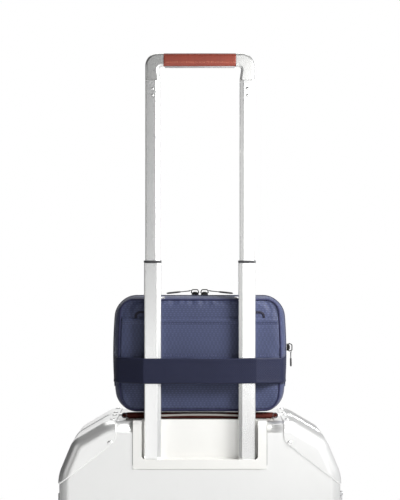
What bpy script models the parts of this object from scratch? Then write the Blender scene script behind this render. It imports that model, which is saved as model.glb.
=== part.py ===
"""Rolling case with a telescopic pull handle and a small soft case belted to it.

Run with: blender --background --python part.py

Frame: +Z up, the floor is Z = 0, and the origin is under the middle of the whole object.
The pull handle is on the -Y side. Lengths in this file are millimetres; MM turns them into
Blender's metres where a mesh or an empty is made.
"""

import math

import bmesh
import bpy
from mathutils import Matrix, Vector

MM = 0.001
GAP = 0.3                 # air between neighbouring solids that touch on the real object

# Hard case
CASE_HALF_WIDTH = 194.0
CASE_TOP = 550.0
CASE_BOTTOM = 50.0
CASE_HALF_DEPTH = 115.0
CASE_MIDDLE = (CASE_TOP + CASE_BOTTOM) / 2
SHELL_WALL = 1.5
SHELL_EDGE_RADIUS = 14.0
FRAME_PROUD = 2.0         # how far the frame rail stands outside the shell
FRAME_DEPTH = 10.0
FRAME_INSET = 6.0
SEAL_GAP = 1.0            # half the gap between the two frame rails
ORIGIN_SHIFT_X = -0.3     # centres the object, because the hinge and latches differ in size

# Pull handle
TUBE_X = 65.0
TUBE_Y = -103.5
LOWER_TUBE = (23.4, 15.0)
UPPER_TUBE = (20.2, 11.8)
GUIDE_TUBE = (26.8, 18.4)
TUBE_WALL = 1.2
WELL_FLOOR = 498.0
WELL_HALF_WIDTH = 80.0
WELL_RIM = 12.0
COLLAR_BOTTOM = 768.3
COLLAR_HEIGHT = 3.2
LOWER_TUBE_BOTTOM = 438.0
UPPER_TUBE_BOTTOM = 715.0
GRIP_TOP = 1057.0
GRIP_HEIGHT = 18.0
GRIP_DEPTH = 15.0
GRIP_HALF_LENGTH = 50.0
CORNER_BOTTOM = 1020.3

# Grab handle across the top of the case
GRAB_HALF_LENGTH = 108.0
GRAB_LEG_X = 94.0
GRAB_WIDTH = 26.0
GRAB_Y = -77.0

# Casters
CASTER_X = 138.0
CASTER_Y = 70.0
WHEEL_RADIUS = 20.0
WHEEL_WIDTH = 10.0
CASTER_TRAIL = 9.0
SIDES = (("left", -1), ("right", 1))
CASTER_TURN = {"rear_left": 35.0, "rear_right": -50.0, "front_left": 120.0, "front_right": -140.0}

# Soft case
BAG_BACK = -93.5
BAG_DEPTH = 60.0
BAG_HALF_WIDTH = 111.5
BAG_BOTTOM = 565.0
BAG_TOP = 717.0
BAG_MIDDLE = BAG_BACK + BAG_DEPTH / 2
BAG_BULGE = 9.0
BAG_CROWN = 5.0
BAG_SAG = 3.5
POCKET_TOP = 691.8
STRAP_BOTTOM = 602.0
STRAP_TOP = 637.0
STRAP_WALL = 1.6

COLOURS = {
    "shell": ((0.80, 0.80, 0.78), 0.35, 0.9),
    "frame": ((0.72, 0.72, 0.71), 0.30, 1.0),
    "guard": ((0.82, 0.82, 0.80), 0.32, 0.9),
    "tube": ((0.78, 0.78, 0.77), 0.30, 1.0),
    "steel": ((0.55, 0.55, 0.56), 0.28, 1.0),
    "gunmetal": ((0.06, 0.06, 0.065), 0.35, 0.8),
    "black_plastic": ((0.02, 0.02, 0.022), 0.45, 0.0),
    "rubber": ((0.03, 0.03, 0.032), 0.75, 0.0),
    "leather": ((0.33, 0.085, 0.045), 0.55, 0.0),
    "navy_fabric": ((0.045, 0.05, 0.11), 0.75, 0.0),
    "navy_webbing": ((0.018, 0.02, 0.055), 0.70, 0.0),
    "lining": ((0.05, 0.05, 0.055), 0.85, 0.0),
}


# ---------------------------------------------------------------- helpers

def material(slot):
    """The Principled BSDF material of one finish, made once."""
    if slot in bpy.data.materials:
        return bpy.data.materials[slot]
    colour, roughness, metallic = COLOURS[slot]
    made = bpy.data.materials.new(slot)
    made.use_nodes = True
    shader = made.node_tree.nodes["Principled BSDF"]
    shader.inputs["Base Color"].default_value = (*colour, 1.0)
    shader.inputs["Roughness"].default_value = roughness
    shader.inputs["Metallic"].default_value = metallic
    made.diffuse_color = (*colour, 1.0)
    return made


def new_object(name, mesh):
    """An object with that mesh, linked to the scene."""
    made = bpy.data.objects.new(name, mesh)
    bpy.context.scene.collection.objects.link(made)
    return made


def object_of(name, bm):
    """Turns a bmesh in millimetres into an object in metres, its faces pointing out."""
    bmesh.ops.remove_doubles(bm, verts=bm.verts, dist=0.001)
    bmesh.ops.recalc_face_normals(bm, faces=bm.faces)
    bm.transform(Matrix.Scale(MM, 4))
    mesh = bpy.data.meshes.new(name)
    bm.to_mesh(mesh)
    bm.free()
    return new_object(name, mesh)


def rounded(corners, inset=0.0, steps=3):
    """A closed outline from (u, v, radius) corners given anticlockwise, its edges moved in by inset."""
    points = []
    count = len(corners)
    for i, (u, v, radius) in enumerate(corners):
        here = Vector((u, v))
        before = (here - Vector(corners[i - 1][:2])).normalized()
        after = (Vector(corners[(i + 1) % count][:2]) - here).normalized()
        turn = before.cross(after)
        half = math.atan2(turn, before.dot(after)) / 2
        inward_before = Vector((-before.y, before.x))
        inward_after = Vector((-after.y, after.x))
        corner = here + (inward_before + inward_after) * inset / (1 + before.dot(after))
        if radius <= 0:
            points.append(corner)
            continue
        side = 1.0 if turn > 0 else -1.0
        fillet = max(radius - side * inset, 0.2)
        reach = fillet * abs(math.tan(half))
        centre = corner - before * reach + inward_before * side * fillet
        start = corner - before * reach - centre
        for k in range(steps + 1):
            angle = 2 * half * k / steps
            spoke = Matrix.Rotation(angle, 2) @ start
            points.append(centre + spoke)
    return [(p.x, p.y) for p in points]


def rectangle(width, height, radius=0.0, centre=(0.0, 0.0)):
    """The (u, v, radius) corners of a rectangle."""
    u, v = centre
    return [
        (u - width / 2, v - height / 2, radius),
        (u + width / 2, v - height / 2, radius),
        (u + width / 2, v + height / 2, radius),
        (u - width / 2, v + height / 2, radius),
    ]


def on_axis(axis, u, v, w):
    """The point at height w along an axis, with u and v across it in X, Y, Z order."""
    return {"X": (w, u, v), "Y": (u, w, v), "Z": (u, v, w)}[axis]


def loft(name, rings, closed=False):
    """A solid through rings of points. It has flat ends, or joins its last ring to its first."""
    bm = bmesh.new()
    loops = [[bm.verts.new(p) for p in ring] for ring in rings]
    pairs = list(zip(loops, loops[1:])) + ([(loops[-1], loops[0])] if closed else [])
    for first, second in pairs:
        for i in range(len(first)):
            j = (i + 1) % len(first)
            bm.faces.new((first[i], first[j], second[j], second[i]))
    if not closed:
        bm.faces.new(loops[0])
        bm.faces.new(loops[-1])
    return object_of(name, bm)


def prism(name, outline, axis, low, high):
    """An outline pushed along an axis from low to high."""
    return loft(name, [[on_axis(axis, u, v, w) for u, v in outline] for w in (low, high)])


def tube(name, outer, inner, axis, low, high):
    """A straight hollow length between two outlines that have the same number of points."""
    turns = [(outer, low), (outer, high), (inner, high), (inner, low)]
    return loft(name, [[on_axis(axis, u, v, w) for u, v in o] for o, w in turns], closed=True)


def box(name, low, high):
    """An upright block between two corners."""
    outline = [(low[0], low[1]), (high[0], low[1]), (high[0], high[1]), (low[0], high[1])]
    return prism(name, outline, "Z", low[2], high[2])


def circle(radius, centre=(0.0, 0.0), sides=16, turn=0.0):
    """Points of a regular outline round a centre."""
    angles = [math.tau * i / sides + turn for i in range(sides)]
    return [(centre[0] + radius * math.cos(a), centre[1] + radius * math.sin(a)) for a in angles]


def turned(name, profile, axis, centre, sides):
    """A solid of revolution: profile is (radius, height along the axis), closed on itself."""
    rings = []
    for radius, height in profile:
        rings.append([on_axis(axis, u, v, height) for u, v in circle(radius, centre, sides)])
    return loft(name, rings, closed=True)


def combine(first, second, operation):
    """Boolean of two objects. The second is used up, and the first keeps its name."""
    modifier = first.modifiers.new("combine", "BOOLEAN")
    modifier.operation = operation
    modifier.object = second
    graph = bpy.context.evaluated_depsgraph_get()
    mesh = bpy.data.meshes.new_from_object(first.evaluated_get(graph))
    first.modifiers.clear()
    first.data = mesh
    bpy.data.objects.remove(second)
    return first


def cut(first, *cutters):
    """First without each of the cutters."""
    for cutter in cutters:
        combine(first, cutter, "DIFFERENCE")
    return first


def finish(obj, slot, pivot, smooth=30.0):
    """Gives a sub-part its material and hangs it from its body's empty."""
    obj.data.materials.clear()
    obj.data.materials.append(material(slot))
    obj.data.shade_smooth()
    obj.data.set_sharp_from_angle(angle=math.radians(smooth))
    obj.data.transform(Matrix.Translation(-Vector(pivot["at"])))
    obj.parent = pivot
    return obj


def body(name, at=(0.0, 0.0, 0.0), parent=None):
    """An empty on a body's joint axis, at a point of the case in millimetres."""
    empty = bpy.data.objects.new("body_" + name, None)
    bpy.context.scene.collection.objects.link(empty)
    place = Vector(at) * MM
    if parent is None:
        empty.location = place + Vector((ORIGIN_SHIFT_X * MM, 0, 0))
    else:
        empty.parent = parent
        empty.location = place - Vector(parent["at"])
    empty["at"] = tuple(place)
    return empty


# ---------------------------------------------------------------- hard case

def case_corners():
    """The case's outline across X and Z, anticlockwise: flat sides, and corners in three steps."""
    steps = [(128.0, 0.0, 30.0), (174.0, 27.0, 25.0), (CASE_HALF_WIDTH, 75.0, 60.0)]
    bottom_right = [(x, CASE_BOTTOM + drop, r) for x, drop, r in steps]
    top_right = [(x, CASE_TOP - drop, r) for x, drop, r in reversed(steps)]
    right = bottom_right + top_right
    return right + [(-x, z, r) for x, z, r in reversed(right)]


def case_ring(inset, y):
    return [(x, y, z) for x, z in rounded(case_corners(), inset)]


def edge_rings(side, outset, rim, steps):
    """Rings of one half of the case, from its rim to its face, with a rounded edge between."""
    radius = SHELL_EDGE_RADIUS + outset
    face = CASE_HALF_DEPTH + outset
    rings = [case_ring(-outset, side * rim)]
    for k in range(steps + 1):
        angle = math.pi / 2 * k / steps
        inset = radius * (1 - math.cos(angle)) - outset
        rings.append(case_ring(inset, side * (face - radius + radius * math.sin(angle))))
    return rings


def half_solid(name, side, outset, rim):
    """One half of the case as a full block, outset outside the shell's surface."""
    return loft(name, edge_rings(side, outset, rim, 3))


def shell(name, side):
    """A deep tray: outer skin, rim, and inner skin."""
    rim = FRAME_DEPTH + GAP
    outer = edge_rings(side, 0.0, rim, 3)
    inner = edge_rings(side, -SHELL_WALL, rim, 3)
    return loft(name, outer[::-1] + inner)


def make_shells(rear, front):
    back = shell("rear_shell", -1)
    rim = WELL_HALF_WIDTH + WELL_RIM + GAP
    cut(back, box("well_cutter", (-rim, -130.0, 484.0 - GAP), (rim, -91.5 + GAP, 570.0)))
    for _, sign in SIDES:
        low = (sign * GRAB_LEG_X - 5.8, GRAB_Y - 8.8, 520.0)
        high = (sign * GRAB_LEG_X + 5.8, GRAB_Y + 8.8, 560.0)
        cut(back, box("leg_cutter", low, high))
    finish(back, "shell", rear)
    finish(shell("front_shell", 1), "shell", front)


def make_frames(rear, front):
    """The two metal rails that meet round the middle, and the rubber seal between them."""
    outer = rounded(case_corners(), -FRAME_PROUD)
    inner = rounded(case_corners(), FRAME_INSET)
    rail = tube("rear_frame", outer, inner, "Y", -FRAME_DEPTH, -SEAL_GAP)
    finish(rail, "frame", rear)
    rail = tube("front_frame", outer, inner, "Y", SEAL_GAP, FRAME_DEPTH)
    finish(rail, "frame", front)
    outer = rounded(case_corners(), 0.5)
    inner = rounded(case_corners(), 4.0)
    half = SEAL_GAP - GAP
    finish(tube("frame_seal", outer, inner, "Y", -half, half), "rubber", rear)


def make_board(rear):
    """The board that covers the guide tubes inside the rear half."""
    outline = rounded(case_corners(), 4.0)
    board = prism("tube_cover_board", outline, "Y", -91.0, -89.5)
    finish(board, "lining", rear)


def guard_outline(sign, top):
    """The outline of a corner plate on the case's face: an upright edge, then a slanting one."""
    outline = [(114.5, 580.0, 0), (114.5, 524.0, 9.0), (215.0, 446.0, 0), (215.0, 580.0, 0)]
    if not top:
        outline = [(x, 2 * CASE_MIDDLE - z, r) for x, z, r in outline][::-1]
    if sign < 0:
        outline = [(-x, z, r) for x, z, r in outline][::-1]
    return rounded(outline)


def corner_plate(name, side, sign, top, proud):
    """A corner plate that follows the shell, proud of it by a few millimetres."""
    rim = FRAME_DEPTH + 2.0
    plate = half_solid(name, side, proud, rim)
    low, high = sorted((side * (rim - 5.0), side * 140.0))
    combine(plate, prism("plate_cutter", guard_outline(sign, top), "Y", low, high), "INTERSECT")
    return cut(plate, half_solid("shell_cutter", side, GAP, 5.0))


def make_corner_guards(half, side, parent):
    for name, sign in SIDES:
        guard = corner_plate(f"{half}_corner_guard_{name}", side, sign, True, 1.5)
        finish(guard, "guard", parent)


def make_wheel_housings(half, side, parent):
    """The moulded bottom corners, each with a socket for a caster's stem."""
    for name, sign in SIDES:
        housing = corner_plate(f"{half}_wheel_housing_{name}", side, sign, False, 2.5)
        centre = (sign * CASTER_X, side * CASTER_Y)
        boss = prism("boss", circle(26.0, centre, 20), "Z", 45.0, 84.0)
        cut(boss, half_solid("shell_cutter", side, GAP, 5.0))
        combine(housing, boss, "UNION")
        cut(housing, prism("socket", circle(4.4, centre, 12), "Z", 40.0, 48.9))
        finish(housing, "black_plastic", parent)


# ---------------------------------------------------------------- hinges and latches

HINGE_X = -(CASE_HALF_WIDTH + FRAME_PROUD + 3.6)
HINGE_BOTTOM = 162.0
HINGE_KNUCKLE = 46.0
HINGE_KNUCKLES = 6
LATCH_HEIGHTS = {"upper": 415.0, "lower": 185.0}
LATCH_PLATE_X = CASE_HALF_WIDTH + FRAME_PROUD + GAP
LEVER_X = 201.0
LEVER_Y = -20.0


def make_leaf(name, side, first, parent):
    """A hinge leaf along one frame rail. Its knuckles fill every second place from the first."""
    y = sorted((side * 2.8, side * 9.5))
    neck_y = sorted((side * 0.2, side * 4.0))
    plate_x = -(CASE_HALF_WIDTH + FRAME_PROUD + GAP)
    top = HINGE_BOTTOM + HINGE_KNUCKLE * HINGE_KNUCKLES
    leaf = box(name, (plate_x - 1.6, y[0], HINGE_BOTTOM), (plate_x, y[1], top))
    outer = circle(3.0, (HINGE_X, 0.0), 10)
    bore = circle(1.7, (HINGE_X, 0.0), 10)
    for place in range(first, HINGE_KNUCKLES, 2):
        low = HINGE_BOTTOM + HINGE_KNUCKLE * place + GAP / 2
        high = low + HINGE_KNUCKLE - GAP
        neck = box("neck", (plate_x - 1.5, neck_y[0], low), (plate_x - 0.1, neck_y[1], high))
        combine(leaf, combine(neck, tube("knuckle", outer, bore, "Z", low, high), "UNION"), "UNION")
    finish(leaf, "steel", parent)


def make_hinge(rear, front):
    make_leaf("hinge_rear_leaf", -1, 0, rear)
    make_leaf("hinge_front_leaf", 1, 1, front)
    low, high = HINGE_BOTTOM - 1.0, HINGE_BOTTOM + HINGE_KNUCKLE * HINGE_KNUCKLES + 1.0
    pin = prism("hinge_pin", circle(1.4, (HINGE_X, 0.0), 8), "Z", low, high)
    finish(pin, "steel", rear)


def make_latches(rear, front, levers):
    """Draw latches: a base with two lugs, a lever that swings out, and a keeper on the other half."""
    for name, height in LATCH_HEIGHTS.items():
        low, high = LATCH_PLATE_X, LATCH_PLATE_X + 1.7
        base = box("latch_base_" + name, (low, -9.8, height - 27), (high, -1.6, height + 27))
        for sign in (-1, 1):
            z = sorted((height + sign * 22.6, height + sign * 27.0))
            lug = box("lug", (low, -23.5, z[0]), (203.2, -6.0, z[1]))
            combine(base, lug, "UNION")
        finish(base, "steel", rear)
        keeper = box("latch_keeper_" + name, (low, 1.6, height - 18), (high, 14.0, height + 18))
        finish(keeper, "steel", front)
        corners = [
            (199.3, LEVER_Y - 0.9, 0.8), (202.6, LEVER_Y - 0.9, 1.6),
            (202.6, 17.0, 1.6), (199.3, 17.0, 0.6),
        ]
        lever = prism("latch_lever_" + name, rounded(corners), "Z", height - 22, height + 22)
        finish(lever, "steel", levers[name])


# ---------------------------------------------------------------- pull handle

def tube_outline(size, shrink=0.0, sign=1):
    """A tube's section across X and Y, its inner front edge broken by a wide chamfer."""
    width, depth = size[0] / 2 - shrink, size[1] / 2 - shrink
    small = max(2.0 - shrink, 0.6)
    slant = 5.2 - shrink * 0.42
    corners = [
        (-width, -depth + slant * 0.55, small), (-width + slant, -depth, small),
        (width, -depth, small), (width, depth, small), (-width, depth, small),
    ]
    points = rounded(corners, steps=2)
    if sign < 0:
        points = [(-u, v) for u, v in points][::-1]
    return [(u + sign * TUBE_X, v + TUBE_Y) for u, v in points]


def handle_tube(name, size, sign, low, high):
    outer = tube_outline(size, 0.0, sign)
    inner = tube_outline(size, TUBE_WALL, sign)
    return tube(name, outer, inner, "Z", low, high)


def ring(name, outer_size, hole_size, sign, low, high):
    """A plain rectangular bush round a tube."""
    centre = (sign * TUBE_X, TUBE_Y)
    outer = rounded(rectangle(*outer_size, 2.5, centre), steps=2)
    hole = rounded(rectangle(*hole_size, 1.2, centre), steps=2)
    return tube(name, outer, hole, "Z", low, high)


def make_well(rear):
    """The recess that the grip folds into, with its raised rim, floor and tube holes."""
    rim = WELL_HALF_WIDTH + WELL_RIM
    profile = [(-116.5, 484.0, 3.0), (-91.5, 484.0, 0), (-91.5, 551.5, 1.0), (-116.5, 551.5, 6.0)]
    well = prism("handle_well", rounded(profile), "X", -rim, rim)
    opening = box("opening", (-WELL_HALF_WIDTH, -130, WELL_FLOOR), (WELL_HALF_WIDTH, -94, 570))
    cut(well, opening)
    for sign in (-1, 1):
        hole = rectangle(LOWER_TUBE[0] + 1.2, LOWER_TUBE[1] + 1.2, 0, (sign * TUBE_X, TUBE_Y))
        cut(well, prism("hole", rounded(hole), "Z", 470.0, 510.0))
    finish(well, "guard", rear)


def make_guides(rear):
    for name, sign in SIDES:
        hole = (GUIDE_TUBE[0] - 2 * TUBE_WALL, GUIDE_TUBE[1] - 2 * TUBE_WALL)
        guide = ring("guide_tube_" + name, GUIDE_TUBE, hole, sign, 72.0, 484.0 - GAP)
        finish(guide, "steel", rear)


def make_lower_stage(stage):
    """The larger pair of tubes: a collar on top, a lock block at the foot, catch holes inside."""
    for name, sign in SIDES:
        low, high = LOWER_TUBE_BOTTOM, COLLAR_BOTTOM - GAP
        part = handle_tube("lower_tube_" + name, LOWER_TUBE, sign, low, high)
        inner_face = sign * (TUBE_X - LOWER_TUBE[0] / 2)
        x = sorted((inner_face - sign * 3.0, inner_face + sign * 3.0))
        for z in (763.5, 752.5, 520.0):
            hole = circle(1.7, (TUBE_Y + 1.0, z), 8)
            cut(part, prism("hole", hole, "X", *x))
        finish(part, "tube", stage)
        top = COLLAR_BOTTOM + COLLAR_HEIGHT
        collar = ring("collar_" + name, (24.2, 15.6), (20.8, 12.4), sign, COLLAR_BOTTOM, top)
        finish(collar, "black_plastic", stage)
        block = ring("lock_block_" + name, (23.8, 15.4), (6.0, 5.0), sign, low - 18.3, low - GAP)
        finish(block, "black_plastic", stage)


def make_upper_stage(stage):
    """The smaller pair of tubes, with two rivet holes near the top of each."""
    for name, sign in SIDES:
        low, high = UPPER_TUBE_BOTTOM, CORNER_BOTTOM - GAP
        part = handle_tube("upper_tube_" + name, UPPER_TUBE, sign, low, high)
        front = TUBE_Y - UPPER_TUBE[1] / 2
        for z in (1008.3, 999.0):
            hole = prism("hole", circle(1.6, (sign * TUBE_X, z), 8), "Y", front - 2, front + 3)
            cut(part, hole)
        finish(part, "tube", stage)


def make_grip(stage, bar, rods):
    """Two metal corners, a core in a leather sleeve, the release bar below, and its push rods."""
    y_low, y_high = TUBE_Y - GRIP_DEPTH / 2, TUBE_Y + GRIP_DEPTH / 2
    grip_bottom = GRIP_TOP - GRIP_HEIGHT
    outer_x = TUBE_X + UPPER_TUBE[0] / 2
    corners = [
        (GRIP_HALF_LENGTH + GAP, grip_bottom, 0), (57.5, grip_bottom, 4.5),
        (54.9, CORNER_BOTTOM, 0), (outer_x, CORNER_BOTTOM, 0),
        (outer_x, GRIP_TOP, 17.0), (GRIP_HALF_LENGTH + GAP, GRIP_TOP, 0),
    ]
    for name, sign in SIDES:
        outline = [(sign * x, z) for x, z in rounded(corners, steps=5)]
        part = prism("grip_corner_" + name, outline, "Y", y_low, y_high)
        pocket = circle(3.2, (sign * TUBE_X, TUBE_Y), 8)
        cut(part, prism("pocket", pocket, "Z", 1010.0, 1040.0))
        finish(part, "guard", stage)

    slot_half = 3.5
    middle = grip_bottom + GRIP_HEIGHT / 2
    centre = (TUBE_Y, middle)
    length = GRIP_HALF_LENGTH
    core = prism("grip_core", rounded(rectangle(11.0, 14.0, 3.0, centre)), "X", -length, length)
    groove = (TUBE_Y - slot_half, TUBE_Y + slot_half)
    cut(core, box("groove", (-80, groove[0], 1030), (80, groove[1], middle - 1.0)))
    finish(core, "black_plastic", stage)
    outer = rounded(rectangle(GRIP_DEPTH, GRIP_HEIGHT, 5.0, centre), steps=4)
    inner = rounded(rectangle(11.6, 14.6, 3.4, centre), steps=4)
    sleeve = tube("grip_leather", outer, inner, "X", -length, length)
    cut(sleeve, box("slit", (-80, groove[0], 1030), (80, groove[1], middle - 1.0)))
    finish(sleeve, "leather", stage)

    lip = grip_bottom - 1.8
    bar_outline = rounded(rectangle(2 * slot_half - 0.8, 6.6, 1.0, (TUBE_Y, lip + 3.3)))
    finish(prism("release_bar", bar_outline, "X", -48.0, 48.0), "gunmetal", bar)
    for name, sign in SIDES:
        outline = circle(2.0, (sign * TUBE_X, TUBE_Y), 8)
        rod = prism("push_rod_" + name, outline, "Z", UPPER_TUBE_BOTTOM - 8.0, 1032.0)
        finish(rod, "steel", rods)


# ---------------------------------------------------------------- grab handle

def make_grab_handle(rear, grab):
    """A leather handle across the top. Its two legs slide through a long plate on the case."""
    seat = CASE_TOP + GAP
    bar = [
        (-GRAB_HALF_LENGTH, seat + 1.9, 2.0), (GRAB_HALF_LENGTH, seat + 1.9, 2.0),
        (GRAB_HALF_LENGTH, seat + 9.8, 4.5), (-GRAB_HALF_LENGTH, seat + 9.8, 4.5),
    ]
    low, high = GRAB_Y - GRAB_WIDTH / 2, GRAB_Y + GRAB_WIDTH / 2
    handle = prism("grab_handle", rounded(bar), "Y", low, high)
    outline = rounded(rectangle(206.0, 19.6, 4.0, (0.0, GRAB_Y)))
    plate = prism("grab_handle_plate", outline, "Z", seat, seat + 1.5)
    for _, sign in SIDES:
        leg_low = (sign * GRAB_LEG_X - 5, GRAB_Y - 8, seat - 22)
        leg_high = (sign * GRAB_LEG_X + 5, GRAB_Y + 8, seat + 5)
        combine(handle, box("leg", leg_low, leg_high), "UNION")
        hole = rounded(rectangle(11.0, 17.0, 0.5, (sign * GRAB_LEG_X, GRAB_Y)))
        cut(plate, prism("hole", hole, "Z", seat - 2, seat + 5))
    finish(handle, "leather", grab)
    finish(plate, "frame", rear)


# ---------------------------------------------------------------- casters

def caster_point(corner, along=0.0, across=0.0):
    """A point of a caster's plan: along its trailing direction and across it."""
    side_x = -1 if corner.endswith("left") else 1
    side_y = -1 if corner.startswith("rear") else 1
    angle = math.radians(CASTER_TURN[corner])
    u = side_x * CASTER_X + along * math.cos(angle) - across * math.sin(angle)
    v = side_y * CASTER_Y + along * math.sin(angle) + across * math.cos(angle)
    return u, v


def caster_frame(corner):
    """Turns and moves a caster that was drawn at the origin, trailing along +X."""
    x, y = caster_point(corner)
    turn = Matrix.Rotation(math.radians(CASTER_TURN[corner]), 4, "Z")
    return Matrix.Translation(Vector((x, y, 0.0)) * MM) @ turn


def make_caster(corner, swivel, wheel):
    """A swivelling fork with a middle web, and two wheels on one axle, either side of the web."""
    frame = caster_frame(corner)
    centre = (CASTER_TRAIL, WHEEL_RADIUS)
    fork = prism("caster_fork_" + corner, circle(20.0, (0, 0), 16), "Z", 40.8, 44.4)
    web = [
        (CASTER_TRAIL - 7, WHEEL_RADIUS - 7, 5.0), (CASTER_TRAIL + 7, WHEEL_RADIUS - 7, 5.0),
        (14.0, 41.5, 0), (-12.0, 41.5, 0),
    ]
    combine(fork, prism("web", rounded(web), "Y", -3.4, 3.4), "UNION")
    combine(fork, prism("stem", circle(4.0, (0, 0), 10), "Z", 43.0, 48.5), "UNION")
    cut(fork, prism("bore", circle(2.6, centre, 8), "Y", -8.0, 8.0))
    fork.data.transform(frame)
    finish(fork, "black_plastic", swivel)

    reach = 3.4 + GAP + WHEEL_WIDTH
    wheels = prism("caster_wheels_" + corner, circle(2.3, centre, 8), "Y", -reach, reach)
    for sign in (-1, 1):
        near, far = sign * (3.4 + GAP), sign * reach
        edge = sign * 1.6
        profile = [
            (1.0, near), (WHEEL_RADIUS - 1.6, near), (WHEEL_RADIUS, near + edge),
            (WHEEL_RADIUS, far - edge), (WHEEL_RADIUS - 1.6, far), (1.0, far),
        ]
        combine(wheels, turned("disc", profile, "Y", centre, 20), "UNION")
    wheels.data.transform(frame)
    finish(wheels, "rubber", wheel)


# ---------------------------------------------------------------- soft case

def bag_ring(y, swell):
    """The soft case's outline at one depth. Swell is 0 at its panels and 1 at its fullest."""
    half = BAG_HALF_WIDTH + BAG_BULGE * swell
    top = BAG_TOP + BAG_CROWN * swell
    bottom = BAG_BOTTOM - BAG_SAG * swell
    upper, lower = 16.0 + 12.0 * swell, 19.0 + 9.0 * swell
    corners = [(-half, bottom, lower), (half, bottom, lower), (half, top, upper), (-half, top, upper)]
    return [(x, y, z) for x, z in rounded(corners, steps=6)]


def make_bag(bag):
    """The stuffed case, and the pocket panel on its back with two webbing loops at its top."""
    depths = [(0.0, 0.0), (2.5, 0.35), (10.0, 0.78), (30.0, 1.0), (50.0, 0.78), (57.5, 0.35), (60.0, 0.0)]
    rings = [bag_ring(BAG_BACK + depth, swell) for depth, swell in depths]
    finish(loft("soft_case_body", rings), "navy_fabric", bag)

    half, low = BAG_HALF_WIDTH - 2.5, BAG_BOTTOM + 2.5
    corners = [(-half, low, 16.5), (half, low, 16.5), (half, POCKET_TOP, 0), (-half, POCKET_TOP, 0)]
    pocket = prism("back_pocket", rounded(corners, steps=4), "Y", BAG_BACK - 1.8, BAG_BACK - GAP)
    for _, sign in SIDES:
        arch = [(-13.0, 690.0, 0), (13.0, 690.0, 0), (13.0, 701.4, 7.0), (-13.0, 701.4, 7.0)]
        hole = [(-9.5, 692.0, 0), (9.5, 692.0, 0), (9.5, 698.2, 4.5), (-9.5, 698.2, 4.5)]
        outline = [(u + sign * 77.4, v) for u, v in rounded(arch)]
        combine(pocket, prism("loop", outline, "Y", BAG_BACK - 1.8, BAG_BACK - GAP), "UNION")
        outline = [(u + sign * 77.4, v) for u, v in rounded(hole)]
        cut(pocket, prism("hole", outline, "Y", BAG_BACK - 4, BAG_BACK + 2))
    finish(pocket, "navy_fabric", bag)


def make_strap(bag):
    """The band that holds the soft case to the pull handle: flat in front, sewn to both sides."""
    front = TUBE_Y - LOWER_TUBE[1] / 2 - 0.6
    path = [(-122.6, -78.0), (-115.4, -95.8), (-79.0, front), (79.0, front), (115.4, -95.8), (122.6, -78.0)]
    rings = []
    for i, point in enumerate(path):
        here = Vector(point)
        before = (here - Vector(path[i - 1])).normalized() if i else None
        after = (Vector(path[i + 1]) - here).normalized() if i + 1 < len(path) else before
        before = before or after
        across = (Vector((before.y, -before.x)) + Vector((after.y, -after.x))).normalized()
        out = here + across * STRAP_WALL
        rings.append([
            (here.x, here.y, STRAP_BOTTOM), (out.x, out.y, STRAP_BOTTOM),
            (out.x, out.y, STRAP_TOP), (here.x, here.y, STRAP_TOP),
        ])
    finish(loft("trolley_strap", rings), "navy_webbing", bag)


TOP_ZIP_Z = BAG_TOP + BAG_CROWN + GAP
SIDE_ZIP_X = BAG_HALF_WIDTH + BAG_BULGE + GAP
SIDE_ZIP_Z = 650.0
SLIDER_X = 6.5


def zip_slider(name):
    """A slider standing on a tape at Z = 0, its pull side towards -X, with a raised bail."""
    seat = 0.8 + GAP
    plan = [(-5.0, -2.8, 1.0), (5.0, -4.2, 1.0), (5.0, 4.2, 1.0), (-5.0, 2.8, 1.0)]
    made = prism(name, rounded(plan, steps=1), "Z", seat, seat + 3.0)
    arch = [(-5.6, 3.0, 0), (5.4, 3.0, 0), (3.6, 8.6, 1.6), (-4.4, 8.6, 1.6)]
    bail = prism("bail", rounded(arch, steps=2), "Y", -1.0, 1.0)
    hole = [(-3.9, 4.6, 0), (3.6, 4.6, 0), (2.5, 7.2, 0.6), (-3.3, 7.2, 0.6)]
    cut(bail, prism("hole", rounded(hole, steps=1), "Y", -2.0, 2.0))
    return combine(made, bail, "UNION")


def zip_pull(name, length, drop):
    """A slim tab that starts at the bail and runs out along -X, falling by drop at its end."""
    start, end = -6.9, -6.9 - length
    side = [(end, 5.6 - drop), (start, 5.6), (start, 7.4), (end, 7.8 - drop)]
    return prism(name, side, "Y", -2.2, 2.2)


def make_zips(sliders, pulls):
    middle = Matrix.Translation(Vector((0, BAG_MIDDLE, TOP_ZIP_Z)) * MM)
    for name, sign in (("left", -1), ("right", 1)):
        turn = Matrix.Rotation(0 if sign < 0 else math.pi, 4, "Z")
        place = middle @ Matrix.Translation(Vector((sign * SLIDER_X, 0, 0)) * MM) @ turn
        slider = zip_slider("zip_slider_" + name)
        slider.data.transform(place)
        finish(slider, "gunmetal", sliders[name])
        pull = zip_pull("zip_pull_" + name, 33.0, 3.6)
        pull.data.transform(place)
        finish(pull, "gunmetal", pulls[name])
    side = Matrix.Translation(Vector((SIDE_ZIP_X, BAG_MIDDLE, SIDE_ZIP_Z)) * MM)
    turn = Matrix.Rotation(math.radians(90), 4, "Y") @ Matrix.Rotation(math.pi, 4, "Z")
    place = side @ turn
    slider = zip_slider("side_zip_slider")
    slider.data.transform(place)
    finish(slider, "gunmetal", sliders["side"])
    pull = zip_pull("side_zip_pull", 20.0, 0.0)
    pull.data.transform(place)
    finish(pull, "gunmetal", pulls["side"])


# ---------------------------------------------------------------- assembly

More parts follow.
